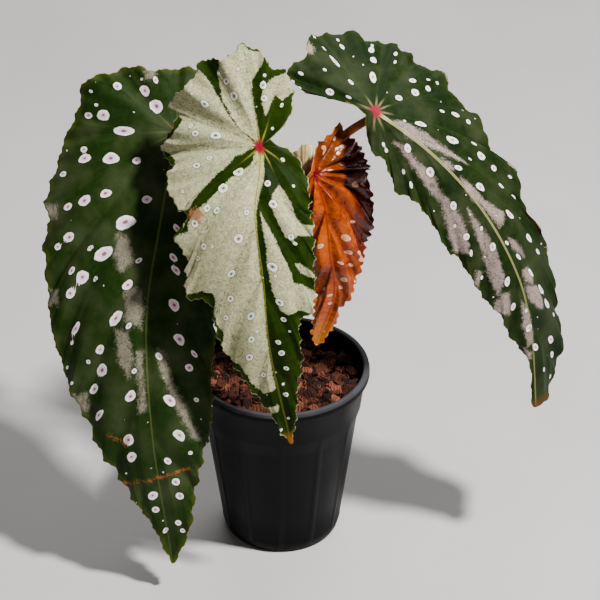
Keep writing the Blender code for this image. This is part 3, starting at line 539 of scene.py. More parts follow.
def leaf_fields(leaf, finish, flat, plain, margin):
    """Distances in millimetres that the leaf's colours and relief are drawn from."""
    vein = np.full(len(flat), -9.0)
    groove = np.zeros(len(flat))
    for line, wide, thin, strength in vein_paths(leaf, finish, plain, margin):
        apart, share = nearest_on_line(flat, line)
        vein = np.maximum(vein, (wide + (thin - wide) * share) - apart)
        reach = leaf.get("pleat", 5.5) * (0.45 + 0.55 * strength)
        groove = np.maximum(groove, strength * np.exp(-(apart / reach) ** 2))
    tip = margin[:, 0].max()
    ahead = np.clip(flat[:, 0] / tip, 0, 1)
    width = finish["rib_width"] * (1 - 0.75 * ahead ** 0.5)
    rib = np.where(flat[:, 0] > 0, width - np.abs(flat[:, 1]), -np.hypot(flat[:, 0], flat[:, 1]))
    groove = np.maximum(groove, np.where(flat[:, 0] > 0, np.exp(-(flat[:, 1] / leaf.get("pleat", 5.5)) ** 2), 0))
    fields = {"vein": vein, "rib": rib, "groove": groove, "seat": np.hypot(flat[:, 0], flat[:, 1])}
    # Silver patches: partly silver under the skin, partly painted glare.
    for key in ("silver_and_glare", "brown"):
        fields[key] = np.full(len(flat), -9.0)
        for corners in leaf[key]:
            fields[key] = np.maximum(fields[key], patch_depth(flat, corners))
    return fields


def make_leaf(name, leaf, looks):
    """One blade as a closed thin shell: domes between the veins, a waved and toothed margin, veins proud below."""
    rng = np.random.default_rng(SEED + sorted(LEAVES).index(name))
    finish = FINISH[name]
    plain, grid, margin, share, edge, turn, around = blade_grid(
        leaf, finish["teeth"], BLADE_ROWS, looks.mesh_step / MM, rng)
    key = np.round(grid.reshape(-1, 2) * 1000).astype(np.int64)
    _, kept, welded = np.unique(key, axis=0, return_index=True, return_inverse=True)
    welded = welded.reshape(grid.shape[:2])
    flat = grid.reshape(-1, 2)[kept]
    share, edge = share.ravel()[kept], edge.ravel()[kept]
    around_here = np.broadcast_to(turn, grid.shape[:2]).ravel()[kept]
    fields = leaf_fields(leaf, finish, flat, plain, margin)
    fields["spot"], within = spot_fields(leaf, finish, flat, margin, rng)
    swell = np.clip(fields["seat"] / leaf.get("swell", 30.0), 0, 1)
    lift = leaf["puff"] * swell * (1 - fields["groove"])
    margin_wave = leaf.get("calm", 1.0)
    for pitch, height, power in ((42.0, 1.5, 3), (17.0, 0.8, 4), (8.0, 0.25, 6)):
        lift = lift + margin_wave * height * share ** power * np.sin(round(around / pitch) * around_here + rng.uniform(0, 6))
    half = looks.leaf_thickness / MM / 2 * (0.35 + 0.65 * np.clip(edge / 1.5, 0, 1))
    top = blade_points(leaf, flat, lift + half)
    proud = 0.7 * np.clip(fields["vein"] + 1.2, 0, 1.2) * swell * np.clip(edge / 4, 0, 1)
    rib_proud = 1.0 * np.clip(fields["rib"] + 1.0, 0, 1.6) * np.clip(fields["seat"] / 8, 0, 1)
    under = blade_points(leaf, flat, lift - half - np.maximum(proud, rib_proud))
    a, b = welded[:-1], np.roll(welded, -1, axis=1)[:-1]
    d, c = welded[1:], np.roll(welded, -1, axis=1)[1:]
    tris = np.concatenate([np.stack([a, d, c], -1).reshape(-1, 3), np.stack([a, c, b], -1).reshape(-1, 3)])
    tris = tris[(tris[:, 0] != tris[:, 1]) & (tris[:, 1] != tris[:, 2]) & (tris[:, 0] != tris[:, 2])]
    p, q, r = flat[tris[:, 0]], flat[tris[:, 1]], flat[tris[:, 2]]
    turned = ((q - p)[:, 0] * (r - p)[:, 1] - (q - p)[:, 1] * (r - p)[:, 0]).sum() < 0
    count = len(flat)
    rim, after = welded[-1], np.roll(welded[-1], -1)
    band = np.concatenate([np.stack([rim, rim + count, after + count], -1), np.stack([rim, after + count, after], -1)])
    faces = np.concatenate([tris, tris[:, ::-1] + count, band])
    if turned:
        faces = faces[:, ::-1]
    tip = float(margin[:, 0].max())
    made = add_piece(name + "_blade", np.concatenate([top, under]), faces, leaf_material(name, finish, tip), name)
    fields["edge"] = edge
    fields["top"] = np.ones(count)
    for key in ("vein", "rib", "spot", "silver_and_glare", "brown", "seat", "edge", "top"):
        values = np.concatenate([fields[key], fields[key] * (key != "top")]).astype(np.float32)
        made.data.attributes.new(key, "FLOAT", "POINT").data.foreach_set("value", values)
    within = np.tile(within, (2, 1)).astype(np.float32).ravel()
    made.data.attributes.new("within", "FLOAT_VECTOR", "POINT").data.foreach_set("vector", within)
    corners = np.zeros(len(made.data.loops), np.int32)
    made.data.loops.foreach_get("vertex_index", corners)
    layer = made.data.uv_layers.new(name="LeafMap")
    layer.data.foreach_set("uv", (np.tile(flat, (2, 1))[corners] / 100).astype(np.float32).ravel())
    return made


def leaf_material(name, finish, tip):
    """Living leaf: a waxy skin over mottled green flesh, which gives a dim satin sheen and deep colour.

    Spots, silver and veins come from the distances kept on the mesh. The silver is partly air under the skin and partly
    painted glare: pale and grainy, and broken up at its borders. A cloudy haze in the silver tone is painted sheen.
    Skin cells are far finer than the 1 and 4 mm grain drawn here to show.
    """
    young = name == "leaf_young"
    made, tree, shader = new_material(name + "_waxy_skin", IOR=1.42, Specular_IOR_Level=finish["sheen"],
                                      Coat_Weight=0.5 if young else 0.0, Coat_Roughness=0.17)
    dark, light, silver_and_glare_tone, under_tone = (linear(tone) for tone in finish["flesh"])
    spot_rim, spot_inside, spot_centre = (linear(tone) for tone in finish["spots"])
    vein_far, vein_near = (linear(tone) for tone in finish["veins"])
    margin_tone, edge_tone, tip_tone, scar_tone = (linear(tone) for tone in finish["margin"])
    flat = node(tree, "UVMap", uv_map="LeafMap")
    place = node(tree, "VectorMath", {0: flat.outputs[0], "Scale": 100.0}, operation="SCALE").outputs[0]
    grain = node(tree, "TexNoise", {"Vector": place, "Scale": 0.9, "Detail": 3.0, "Roughness": 0.65}).outputs["Fac"]
    mottle = node(tree, "TexNoise", {"Vector": place, "Scale": 0.24, "Detail": 4.0, "Roughness": 0.65}).outputs["Fac"]
    cloud = node(tree, "TexNoise", {"Vector": place, "Scale": 0.035, "Detail": 2.0}).outputs["Fac"]
    blotch = node(tree, "TexNoise", {"Vector": place, "Scale": 0.28, "Detail": 3.0, "Roughness": 0.65}).outputs["Fac"]
    dots = node(tree, "TexNoise", {"Vector": place, "Scale": 0.8, "Detail": 2.0, "Roughness": 0.7}).outputs["Fac"]
    broken = node(tree, "Mix", {0: 0.5, 2: grain, 3: mottle}).outputs[0]
    # Each mask: the mesh distance, where it starts and is full, how far the grain shifts it, and its strength.
    masks = {}
    rough, soft = finish["silver_break"], finish["silver_soft"]
    for key, source, low, high, shift, full in (
            ("halo", "spot", -1.0, -0.2, 0.3, 0.4), ("gate", "spot", -0.5, -0.15, 0.0, 1.0),
            ("rib", "rib", -0.25, 0.2, 0.3, 1.0), ("vein", "vein", -0.35, 0.15, 0.4, 1.0),
            ("silver_and_glare", "silver_and_glare", -soft, soft, rough, finish["silver_share"]),
            ("brown", "brown", -0.9, 0.9, 15.0, 0.85), ("seat", "seat", 2.5, 1.4, 1.0, 0.97),
            ("rays", "seat", 7.5, 2.6, 0.0, 1.0), ("near", "seat", finish["near"], 5.0, 0.0, 1.0),
            ("edge", "edge", 0.6, 0.1, 1.2, 0.75), ("margin", "edge", 5.0, 0.0, 6.0, 0.7),
            ("top", "top", 0.7, 0.3, 0.0, 1.0)):
        value = node(tree, "Attribute", attribute_name=source).outputs["Fac"]
        shifted = node(tree, "Math", {0: broken, 1: shift, 2: value}, operation="MULTIPLY_ADD").outputs[0]
        level = node(tree, "MapRange", {"Value": shifted, "From Min": low + shift / 2, "From Max": high + shift / 2,
                                        "To Max": full}, interpolation_type="SMOOTHSTEP")
        masks[key] = level.outputs[0]
    within = node(tree, "Attribute", attribute_name="within").outputs["Vector"]
    level_place = node(tree, "VectorMath", {0: within, 1: (1.0, 1.0, 0.0)}, operation="MULTIPLY").outputs[0]
    out_share = node(tree, "VectorMath", {0: level_place}, operation="LENGTH").outputs["Value"]
    big = node(tree, "SeparateXYZ", {0: within}).outputs[2]
    out_share = node(tree, "Math", {0: mottle, 1: 0.5, 2: out_share}, operation="MULTIPLY_ADD").outputs[0]
    along, across = (node(tree, "SeparateXYZ", {0: place}).outputs[k] for k in (0, 1))
    # The signed across place, used for the painted shadow on the young leaf's far side.
    painted_shadow_side = across
    across = node(tree, "Math", {0: across}, operation="ABSOLUTE").outputs[0]
    # Each ramp: its value, where it is nought and full, and its strength.
    ramps = {}
    for key, value, low, high, full in (
            ("flesh", node(tree, "Mix", {0: 0.45, 2: cloud, 3: mottle}).outputs[0], 0.38, 0.64, 1.0),
            # The haze ramp is a painted sheen: a cloud of the silver tone laid over the flesh.
            ("painted_sheen", cloud, 0.45, 0.75, finish["painted_sheen"]), ("pale", blotch, 0.44, 0.58, 0.8), ("fleck", dots, 0.54, 0.66, 0.75),
            ("pits", dots, 0.44, 0.36, 0.6),
            ("disc", out_share, 1.24, 1.14, 1.0), ("inside", out_share, 0.98, 0.8, 1.0),
            ("heart", out_share, 0.58, 0.46, 0.95),
            ("line", across, 0.4, 0.1, 0.6), ("flank", broken, 0.5, 0.56, 0.7), ("tip", along, tip - finish["tip"], tip, 1.0),
            ("rib_show", masks["near"], 0.0, 1.0, None), ("vein_show", masks["near"], 0.0, 1.0, None),
            # painted shade: the young leaf's base darkens toward the lobe tone
            ("lobe", along, 12.0, -8.0, 0.85 if "lobe" in finish else 0.0),
            # painted shadow: the far side of the young leaf turns to the flank tone
            ("painted_shadow_side", painted_shadow_side, 16.0, 20.0, 0.92 if "flank" in finish else 0.0)):
        near, far = finish[key.replace("show", "share")] if full is None else (full, 0.0)
        ramps[key] = node(tree, "MapRange", {"Value": value, "From Min": low, "From Max": high, "To Min": far,
                                             "To Max": near}).outputs[0]
    shares = {}
    for key, one, other in (
            ("disc", ramps["disc"], masks["gate"]), ("heart", ramps["heart"], big), ("rib", masks["rib"], ramps["rib_show"]),
            ("vein", masks["vein"], ramps["vein_show"]), ("line", ramps["line"], masks["rib"]),
            ("flank", masks["vein"], ramps["flank"]), ("vein_rays", masks["vein"], masks["rays"]),
            ("rib_rays", masks["rib"], masks["rays"]), ("under_vein", masks["vein"], masks["top"]),
            ("under_rib", masks["rib"], masks["top"])):
        shares[key] = node(tree, "Math", {0: one, 1: other}, operation="MULTIPLY").outputs[0]
    flank = node(tree, "Math", {0: shares["flank"], 1: masks["silver_and_glare"]}, operation="MULTIPLY").outputs[0]
    blends = {}
    for key, first, layers in (
            ("silver_and_glare", silver_and_glare_tone, ((ramps["pale"], [c * 0.66 for c in silver_and_glare_tone[:3]] + [1.0]),
                                     (ramps["fleck"], [min(c * 1.5, 0.85) for c in silver_and_glare_tone[:3]] + [1.0]),
                                     (ramps["pits"], [c * 0.3 for c in silver_and_glare_tone[:3]] + [1.0]))),
            ("spot", spot_rim, ((ramps["inside"], spot_inside), (shares["heart"], spot_centre))),
            ("vein", vein_far, ((masks["near"], vein_near),))):
        for factor, tone in layers:
            first = node(tree, "Mix", {0: factor, 6: first, 7: tone}, data_type="RGBA").outputs[2]
        blends[key] = first
    crimson = linear(finish["seat"])
    under_vein = [c * 1.7 for c in under_tone[:3]] + [1.0]
    # Painted shade on the young leaf's base.
    painted_lobe_shade_tone = linear(finish.get("lobe", finish["flesh"][1]))
    # Painted shadow of the right leaf on the young leaf's far side.
    painted_shadow_tone = linear(finish.get("flank", finish["flesh"][1]))
    colour = dark
    for factor, tone in (
            # painted sheen in the silver tone (haze), and painted shade on the young leaf's base (lobe)
            (ramps["flesh"], light), (ramps["painted_sheen"], silver_and_glare_tone), (ramps["lobe"], painted_lobe_shade_tone), (masks["margin"], margin_tone),
            # painted shadow of the right leaf on the young leaf (painted_shadow_side)
            (ramps["painted_shadow_side"], painted_shadow_tone),
            # silver: partly silver under the skin, partly painted glare
            (masks["silver_and_glare"], blends["silver_and_glare"]), (shares["vein"], blends["vein"]), (flank, dark),
            (masks["halo"], dark), (shares["disc"], blends["spot"]), (shares["rib"], vein_near), (shares["line"], dark),
            (masks["edge"], edge_tone), (masks["brown"], scar_tone), (ramps["tip"], tip_tone),
            (shares["vein_rays"], crimson), (shares["rib_rays"], crimson), (masks["seat"], crimson),
            (masks["top"], under_tone), (shares["under_vein"], under_vein), (shares["under_rib"], under_vein)):
        colour = node(tree, "Mix", {0: factor, 6: colour, 7: tone}, data_type="RGBA").outputs[2]
    tree.links.new(colour, shader.inputs["Base Color"])
    gloss = (0.16, 0.3) if young else (0.48, 0.65)
    satin = node(tree, "MapRange", {"Value": mottle, "From Min": 0.3, "From Max": 0.7, "To Min": gloss[0],
                                    "To Max": gloss[1]}).outputs[0]
    tree.links.new(satin, shader.inputs["Roughness"])
    net = node(tree, "TexVoronoi", {"Vector": place, "Scale": 0.3, "Randomness": 1.0}, feature="DISTANCE_TO_EDGE")
    quilt = node(tree, "MapRange", {"Value": net.outputs["Distance"], "From Max": 0.3, "To Max": 0.5},
                 interpolation_type="SMOOTHSTEP").outputs[0]
    height = node(tree, "Math", {0: grain, 1: 0.5, 2: quilt}, operation="MULTIPLY_ADD").outputs[0]
    bump = node(tree, "Bump", {"Height": height, "Strength": 0.7 if young else 0.4, "Distance": (0.4 if young else 0.2) * MM})
    tree.links.new(bump.outputs[0], shader.inputs["Normal"])
    if young:
        tree.links.new(bump.outputs[0], shader.inputs["Coat Normal"])
    return made


def body_radius(height):
    """Outer radius of the pot's plain tapered wall."""
    return FOOT_RADIUS + (BODY_TOP_RADIUS - FOOT_RADIUS) * height / POT_HEIGHT


def make_pot(looks):
    """Lathed pot: a profile of radius and height carried round the axis, pulled in by 0.5 mm over each panel."""
    rim_bottom = POT_HEIGHT - RIM_DEPTH
    inner = body_radius(POT_HEIGHT) - WALL
    step = SHOULDER_STEP
    corners = [
        (0, 3.4), (20, 3.4), (21.5, FOOT_GROOVE), (33, FOOT_GROOVE), (34.6, 0.3), (35.2, 0), (37.3, 0), (38.4, 0.5),
        (39.6, 2.2), (body_radius(8), 8), (body_radius(9), 9), (body_radius(30), 30), (body_radius(60), 60),
        (body_radius(90), 90), (body_radius(SHOULDER[0]), SHOULDER[0]),
        (body_radius(SHOULDER[1]) + step, SHOULDER[1]), (body_radius(SHOULDER[1] + 1) + step, SHOULDER[1] + 1),
        (body_radius(rim_bottom - 1) + step, rim_bottom - 1), (body_radius(rim_bottom) + step + 0.3, rim_bottom),
        (RIM_RADIUS - 0.7, rim_bottom), (RIM_RADIUS - 0.1, rim_bottom + 0.5), (RIM_RADIUS, rim_bottom + 1.2),
        (RIM_RADIUS, POT_HEIGHT - 2.4), (RIM_RADIUS - 0.3, POT_HEIGHT - 2.0), (RIM_RADIUS - 0.35, POT_HEIGHT - 1.0),
        (RIM_RADIUS - 0.8, POT_HEIGHT - 0.2), (RIM_RADIUS - 1.3, POT_HEIGHT), (inner + 0.9, POT_HEIGHT),
        (inner + 0.3, POT_HEIGHT - 0.4), (inner, POT_HEIGHT - 1.2), (body_radius(48) - WALL, 48),
        (body_radius(FLOOR + 2) - WALL, FLOOR + 2), (body_radius(FLOOR) - WALL - 1.5, FLOOR), (0, FLOOR)]
    profile = np.array(corners, float)
    turn = 2 * math.pi * np.arange(POT_SIDES) / POT_SIDES
    radius, height = profile[:, :1] + 0 * turn, profile[:, 1:] + 0 * turn
    lane = (turn * PANELS / (2 * math.pi)) % 1.0
    panel = np.clip((0.5 - np.abs(lane - 0.5)) / 0.05 - 1.0, 0, 1)
    outside = (radius > body_radius(height) - 0.5) & (height > 8.5) & (height < SHOULDER[0] + 0.1)
    radius = radius - np.where(outside, 0.5 * panel, 0)
    spread = np.abs((turn * NOTCHES / (2 * math.pi)) % 1.0 - 0.5) * 2 * math.pi / NOTCHES * FOOT_RADIUS
    notch = np.clip((6.6 - spread) / 0.6, 0, 1)
    foot = (height < 1.7) & (radius > 34)
    height = np.where(foot, height + (1.7 - height) * notch, height)
    points = np.stack([radius * np.cos(turn), radius * np.sin(turn), height], -1).reshape(-1, 3)
    rows = np.arange(len(profile) - 1)[:, None] * POT_SIDES
    here = np.arange(POT_SIDES)
    after = (here + 1) % POT_SIDES
    faces = np.stack([rows + here, rows + after, rows + POT_SIDES + after, rows + POT_SIDES + here], -1).reshape(-1, 4)
    pot = add_piece("nursery_pot", points, faces, pot_plastic(looks), "pot")
    shape = bmesh.new()
    shape.from_mesh(pot.data)
    bmesh.ops.remove_doubles(shape, verts=shape.verts, dist=1e-6)
    bmesh.ops.recalc_face_normals(shape, faces=shape.faces)
    shape.to_mesh(pot.data)
    shape.free()
    pot.data.set_sharp_from_angle(angle=math.radians(38))
    return pot


def make_lug(looks):
    """Small stacking lug under the rim: a block, tapered to its foot and bevelled."""
    shape = bmesh.new()
    bmesh.ops.create_cube(shape, size=1.0)
    for vertex in shape.verts:
        if vertex.co.z < 0:
            vertex.co.x *= 0.55
    place = Vector((RIM_RADIUS - 2.8, 0, POT_HEIGHT - RIM_DEPTH - 4)) * MM
    matrix = Matrix.Rotation(math.radians(LUG_ANGLE), 4, "Z") @ Matrix.Translation(place)
    matrix = matrix @ Matrix.Diagonal((4.4 * MM, 6 * MM, 10 * MM, 1.0))
    bmesh.ops.transform(shape, matrix=matrix, verts=shape.verts)
    bmesh.ops.bevel(shape, geom=shape.edges[:], offset=0.5 * MM, segments=2, affect="EDGES")
    mesh = bpy.data.meshes.new("stacking_lug")
    shape.to_mesh(mesh)
    shape.free()
    mesh.materials.append(bpy.data.materials["moulded_polypropylene"])
    lug = bpy.data.objects.new("stacking_lug", mesh)
    bpy.context.scene.collection.objects.link(lug)
    finish_piece(lug, None)
    return lug


def pot_plastic(looks):
    """Moulded recycled polypropylene: near black, with a dull even sheen, fine flow grain and a little dust."""
    made, tree, shader = new_material("moulded_polypropylene", IOR=1.49, Specular_IOR_Level=0.09)
    place = node(tree, "TexCoord").outputs["Object"]
    grain = node(tree, "TexNoise", {"Vector": place, "Scale": 900.0, "Detail": 2.0}).outputs["Fac"]
    cloud = node(tree, "TexNoise", {"Vector": place, "Scale": 35.0, "Detail": 4.0}).outputs["Fac"]
    dust = node(tree, "MapRange", {"Value": cloud, "From Min": 0.5, "From Max": 0.8, "To Max": 0.2}).outputs[0]
    colour = node(tree, "Mix", {0: dust, 6: (*looks.pot_colour, 1.0), 7: linear("#121110")}, data_type="RGBA").outputs[2]
    height = node(tree, "SeparateXYZ", {0: place}).outputs[2]
    # Painted highlight: a lighter grey band round the rim's top edge, broken by the cloud noise.
    painted_rim_highlight = node(tree, "MapRange", {"Value": height, "From Min": (POT_HEIGHT - 2.8) * MM,
                                    "From Max": (POT_HEIGHT - 1.4) * MM}, interpolation_type="SMOOTHSTEP").outputs[0]
    painted_rim_highlight = node(tree, "Math", {0: painted_rim_highlight, 1: cloud}, operation="MULTIPLY").outputs[0]
    colour = node(tree, "Mix", {0: painted_rim_highlight, 6: colour, 7: linear("#4C4C50")}, data_type="RGBA").outputs[2]
    tree.links.new(colour, shader.inputs["Base Color"])
    rough = node(tree, "MapRange", {"Value": cloud, "From Min": 0.3, "From Max": 0.7, "To Min": 0.38, "To Max": 0.55})
    tree.links.new(rough.outputs[0], shader.inputs["Roughness"])
    bump = node(tree, "Bump", {"Height": grain, "Strength": 0.25, "Distance": 0.08 * MM})
    tree.links.new(bump.outputs[0], shader.inputs["Normal"])
    return made


def soil_height(x, y):
    """Gently uneven level of the potting mix, lower on the far right."""
    return SOIL_LEVEL + 1.2 * np.sin(x / 13.0 + 0.6) * np.cos(y / 11.0) - 0.03 * x - 0.06 * y


def turned(rng, count, tilt):
    """Turning matrices for many lumps: a free turn about the upright and tilts about the two level axes."""
    z, x, y = rng.uniform(0, 2 * math.pi, count), rng.uniform(-tilt, tilt, count), rng.uniform(-tilt, tilt, count)
    one, nought = np.ones(count), np.zeros(count)
    about_z = np.stack([np.cos(z), -np.sin(z), nought, np.sin(z), np.cos(z), nought, nought, nought, one], -1)
    about_x = np.stack([one, nought, nought, nought, np.cos(x), -np.sin(x), nought, np.sin(x), np.cos(x)], -1)
    about_y = np.stack([np.cos(y), nought, np.sin(y), nought, one, nought, -np.sin(y), nought, np.cos(y)], -1)
    return about_z.reshape(-1, 3, 3) @ about_x.reshape(-1, 3, 3) @ about_y.reshape(-1, 3, 3)


def make_bark(looks):
    """Bed of bark chips: one bevelled block, copied with its own size, knocks and tilt, over a rough dark bed."""
    rng = np.random.default_rng(SEED)
    shape = bmesh.new()
    bmesh.ops.create_cube(shape, size=1.0)
    bmesh.ops.bevel(shape, geom=shape.edges[:], offset=0.16, segments=1, affect="EDGES")
    bmesh.ops.triangulate(shape, faces=shape.faces)
    block = np.array([v.co[:] for v in shape.verts])
    block_faces = np.array([[v.index for v in f.verts] for f in shape.faces])
    shape.free()
    count = looks.bark_chips
    order = np.arange(count)
    reach = (SOIL_RADIUS - 3.2) * np.sqrt((order + 0.5) / count)
    turn = order * 2.39996 + rng.uniform(-0.5, 0.5, count)
    x, y = reach * np.cos(turn), reach * np.sin(turn)
    length = 3.2 + 8.0 * rng.uniform(0, 1, count) ** 1.6
    size = np.stack([length, length * rng.uniform(0.4, 0.85, count), length * rng.uniform(0.25, 0.6, count)], -1)
    near = np.hypot(x, y) < 9
    x, y = np.where(near, x * 2.2 + 3, x), np.where(near, y * 2.2 + 3, y)
    place = np.stack([x, y, soil_height(x, y) + rng.uniform(-3.0, 1.8, count)], -1)
    knocked = block[None] * (1 + rng.uniform(-0.3, 0.3, (count, len(block), 3)))
    lumps = (knocked * size[:, None]) @ turned(rng, count, 0.9).transpose(0, 2, 1) + place[:, None]
    far = np.hypot(lumps[..., 0], lumps[..., 1])
    keep = np.minimum(1, SOIL_RADIUS / np.maximum(far, 1e-6))
    lumps[..., 0] *= keep
    lumps[..., 1] *= keep
    faces = (block_faces[None] + (order * len(block))[:, None, None]).reshape(-1, 3)
    tone = np.repeat(rng.uniform(0, 1, count), len(block))
    rings, sides = 26, 96
    ring = np.linspace(0, 1, rings)[1:, None]
    angle = 2 * math.pi * np.arange(sides) / sides
    bx, by = SOIL_RADIUS * ring * np.cos(angle), SOIL_RADIUS * ring * np.sin(angle)
    rough = 0.9 * np.sin(bx * 1.1 + 2 * np.sin(by * 0.7)) * np.cos(by * 1.3 + bx * 0.2)
    top = np.stack([bx, by, soil_height(bx, by) - 3.2 + rough], -1).reshape(-1, 3)
    skirt = np.stack([SOIL_RADIUS * 0.97 * np.cos(angle), SOIL_RADIUS * 0.97 * np.sin(angle), 0 * angle + 106], -1)
    bed = np.concatenate([[[0, 0, soil_height(0, 0) - 3.2]], top, skirt, [[0, 0, 106]]])
    here, after = np.arange(sides), (np.arange(sides) + 1) % sides
    rows = 1 + np.arange(rings - 1)[:, None] * sides
    walls = np.concatenate([np.stack([rows + here, rows + sides + here, rows + sides + after], -1).reshape(-1, 3),
                            np.stack([rows + here, rows + sides + after, rows + after], -1).reshape(-1, 3),
                            np.stack([0 * here, 1 + here, 1 + after], -1),
                            np.stack([0 * here + len(bed) - 1, rows[-1] + sides + after, rows[-1] + sides + here], -1)])
    strand_points, strand_faces = strands(rng)
    first, second = len(block) * count, len(block) * count + len(bed)
    points = np.concatenate([lumps.reshape(-1, 3), bed, strand_points])
    faces = np.concatenate([faces, walls + first, strand_faces + second])
    piece = add_piece("bark_chips", points, faces, bark_material(), "potting_mix", smooth=False)
    values = np.concatenate([tone, np.full(len(bed), -0.6), np.full(len(strand_points), 1.15)]).astype(np.float32)
    piece.data.attributes.new("tone", "FLOAT", "POINT").data.foreach_set("value", values)
    return piece


def strands(rng):
    """Coir fibres: three-sided threads, each a parabola bent sideways and lying on the mix."""
    along = np.linspace(-1, 1, 8)
    length, turn = rng.uniform(4, 11, FIBRES), rng.uniform(0, 2 * math.pi, FIBRES)
    reach, way = (SOIL_RADIUS - 8) * np.sqrt(rng.uniform(0.05, 1, FIBRES)), rng.uniform(0, 2 * math.pi, FIBRES)
    sag = rng.uniform(-2.5, 2.5, FIBRES)
    px = length[:, None] / 2 * along
    py = sag[:, None] * (1 - along ** 2)
    x = reach[:, None] * np.cos(way)[:, None] + px * np.cos(turn)[:, None] - py * np.sin(turn)[:, None]
    y = reach[:, None] * np.sin(way)[:, None] + px * np.sin(turn)[:, None] + py * np.cos(turn)[:, None]
    z = soil_height(x, y) + rng.uniform(1.0, 2.6, FIBRES)[:, None] + rng.uniform(-1, 1.2, FIBRES)[:, None] * (1 - along ** 2)
    corner = np.array([0, 2.1, 4.2])
    thick = 0.22 * (1 - 0.8 * along ** 4)
    ring = np.stack([x[..., None] + thick[None, :, None] * np.cos(corner), y[..., None] + thick[None, :, None] * np.cos(corner),
                     z[..., None] + thick[None, :, None] * np.sin(corner)], -1)
    points = ring.reshape(-1, 3)
    base = (np.arange(FIBRES)[:, None, None] * 8 + np.arange(7)[None, :, None]) * 3
    k = np.arange(3)[None, None, :]
    after = (k + 1) % 3
    faces = np.concatenate([np.stack([base + k, base + after, base + 3 + after], -1).reshape(-1, 3),
                            np.stack([base + k, base + 3 + after, base + 3 + k], -1).reshape(-1, 3)])
    return points, faces


def bark_material():
    """Composted pine bark and coir: split, fibrous lumps from dark red brown to tan, dull and dry."""
    made, tree, shader = new_material("composted_pine_bark", Roughness=0.85, Specular_IOR_Level=0.15)
    place = node(tree, "TexCoord").outputs["Object"]
    grain = node(tree, "TexNoise", {"Vector": place, "Scale": 420.0, "Detail": 5.0, "Roughness": 0.7}).outputs["Fac"]
    fibre = node(tree, "TexWave", {"Vector": place, "Scale": 160.0, "Distortion": 9.0, "Detail": 3.0}).outputs["Fac"]
    tone = node(tree, "Attribute", attribute_name="tone").outputs["Fac"]
    mixed = node(tree, "Math", {0: grain, 1: 0.7, 2: tone}, operation="MULTIPLY_ADD").outputs[0]
    mixed = node(tree, "Math", {0: fibre, 1: 0.15, 2: mixed}, operation="MULTIPLY_ADD").outputs[0]
    ramp = node(tree, "ValToRGB", {0: mixed})
    stops = ((0.2, "#0A0403"), (0.46, "#2A140B"), (0.72, "#4C2416"), (0.97, "#8C523A"))
    while len(ramp.color_ramp.elements) < len(stops):
        ramp.color_ramp.elements.new(0.5)
    for element, (position, tone_hex) in zip(ramp.color_ramp.elements, stops):
        element.position = position
        element.color = linear(tone_hex)
    scaled = node(tree, "MapRange", {"Value": mixed, "From Max": 1.7}).outputs[0]
    tree.links.new(scaled, ramp.inputs[0])
    tree.links.new(ramp.outputs[0], shader.inputs["Base Color"])
    height = node(tree, "Math", {0: grain, 1: fibre}, operation="ADD").outputs[0]
    bump = node(tree, "Bump", {"Height": height, "Strength": 0.7, "Distance": 0.5 * MM})
    tree.links.new(bump.outputs[0], shader.inputs["Normal"])
    return made


def tube(route, radii, sides=20):
    """Closed tube: a circle of the given radii carried along a smooth curve, square to its run."""
    rings = len(radii)
    centres = catmull(route, np.linspace(0, len(route) - 1, rings))
    run = np.gradient(centres, axis=0)
    run /= np.linalg.norm(run, axis=1)[:, None]
    side = np.cross(run, (0.3, 1.0, 0.2))
    side /= np.linalg.norm(side, axis=1)[:, None]
    up = np.cross(run, side)
    angle = 2 * math.pi * np.arange(sides) / sides
    circle = side[:, None] * np.cos(angle)[:, None] + up[:, None] * np.sin(angle)[:, None]
    points = (centres[:, None] + circle * radii[:, None, None]).reshape(-1, 3)
    here, after = np.arange(sides), (np.arange(sides) + 1) % sides
    rows = np.arange(rings - 1)[:, None] * sides
    faces = np.concatenate([np.stack([rows + here, rows + after, rows + sides + after], -1).reshape(-1, 3),
                            np.stack([rows + here, rows + sides + after, rows + sides + here], -1).reshape(-1, 3)])
    count = len(points)
    points = np.concatenate([points, centres[:1], centres[-1:]])
    caps = np.concatenate([np.stack([0 * here + count, after, here], -1),
                           np.stack([0 * here + count + 1, rows[-1] + sides + here, rows[-1] + sides + after], -1)])
    return points, np.concatenate([faces, caps])


def make_cane(looks):
    """Jointed cane and its stalks: tubes swollen at each node, grown together by a fine remesh."""
    along = np.linspace(0, 1, 400)
    radii = CANE_RADIUS[0] + (CANE_RADIUS[1] - CANE_RADIUS[0]) * along
    for place in CANE_NODES:
        radii = radii + 0.9 * np.exp(-((along - place) / 0.016) ** 2) - 0.25 * np.exp(-((along - place - 0.03) / 0.008) ** 2)
    parts = [tube(CANE_ROUTE, radii)]
    for name, route in STALKS.items():
        length, place, run, side, face = rib_frame(LEAVES[name])
        seat = int(np.argmin(np.abs(length)))
        end = place[seat] - face[seat] * (STALK_SEAT_GAP - 0.5)
        whole = (*route, end - face[seat] * 9.0, end)
        share = np.linspace(0, 1, 120)
        slim = 0.62 if name == "leaf_young" else 1.0
        radii = STALK_RADIUS * slim * (1.0 - 0.15 * share + 0.35 * np.exp(-(share / 0.06) ** 2))
        parts.append(tube(whole, radii))
    points, faces, count = [], [], 0
    for part_points, part_faces in parts:
        points.append(part_points)
        faces.append(part_faces + count)
        count += len(part_points)
    cane = add_piece("cane_and_stalks", np.concatenate(points), np.concatenate(faces), cane_material(), "cane")
    remesh = cane.modifiers.new("grow", "REMESH")
    remesh.mode = "VOXEL"
    remesh.voxel_size = 0.65 * MM
    smooth = cane.modifiers.new("smooth", "SMOOTH")
    smooth.iterations = 4
    mesh = bpy.data.meshes.new_from_object(cane.evaluated_get(bpy.context.evaluated_depsgraph_get()))
    cane.modifiers.clear()
    cane.data = mesh
    mesh.polygons.foreach_set("use_smooth", np.ones(len(mesh.polygons), bool))
    return cane


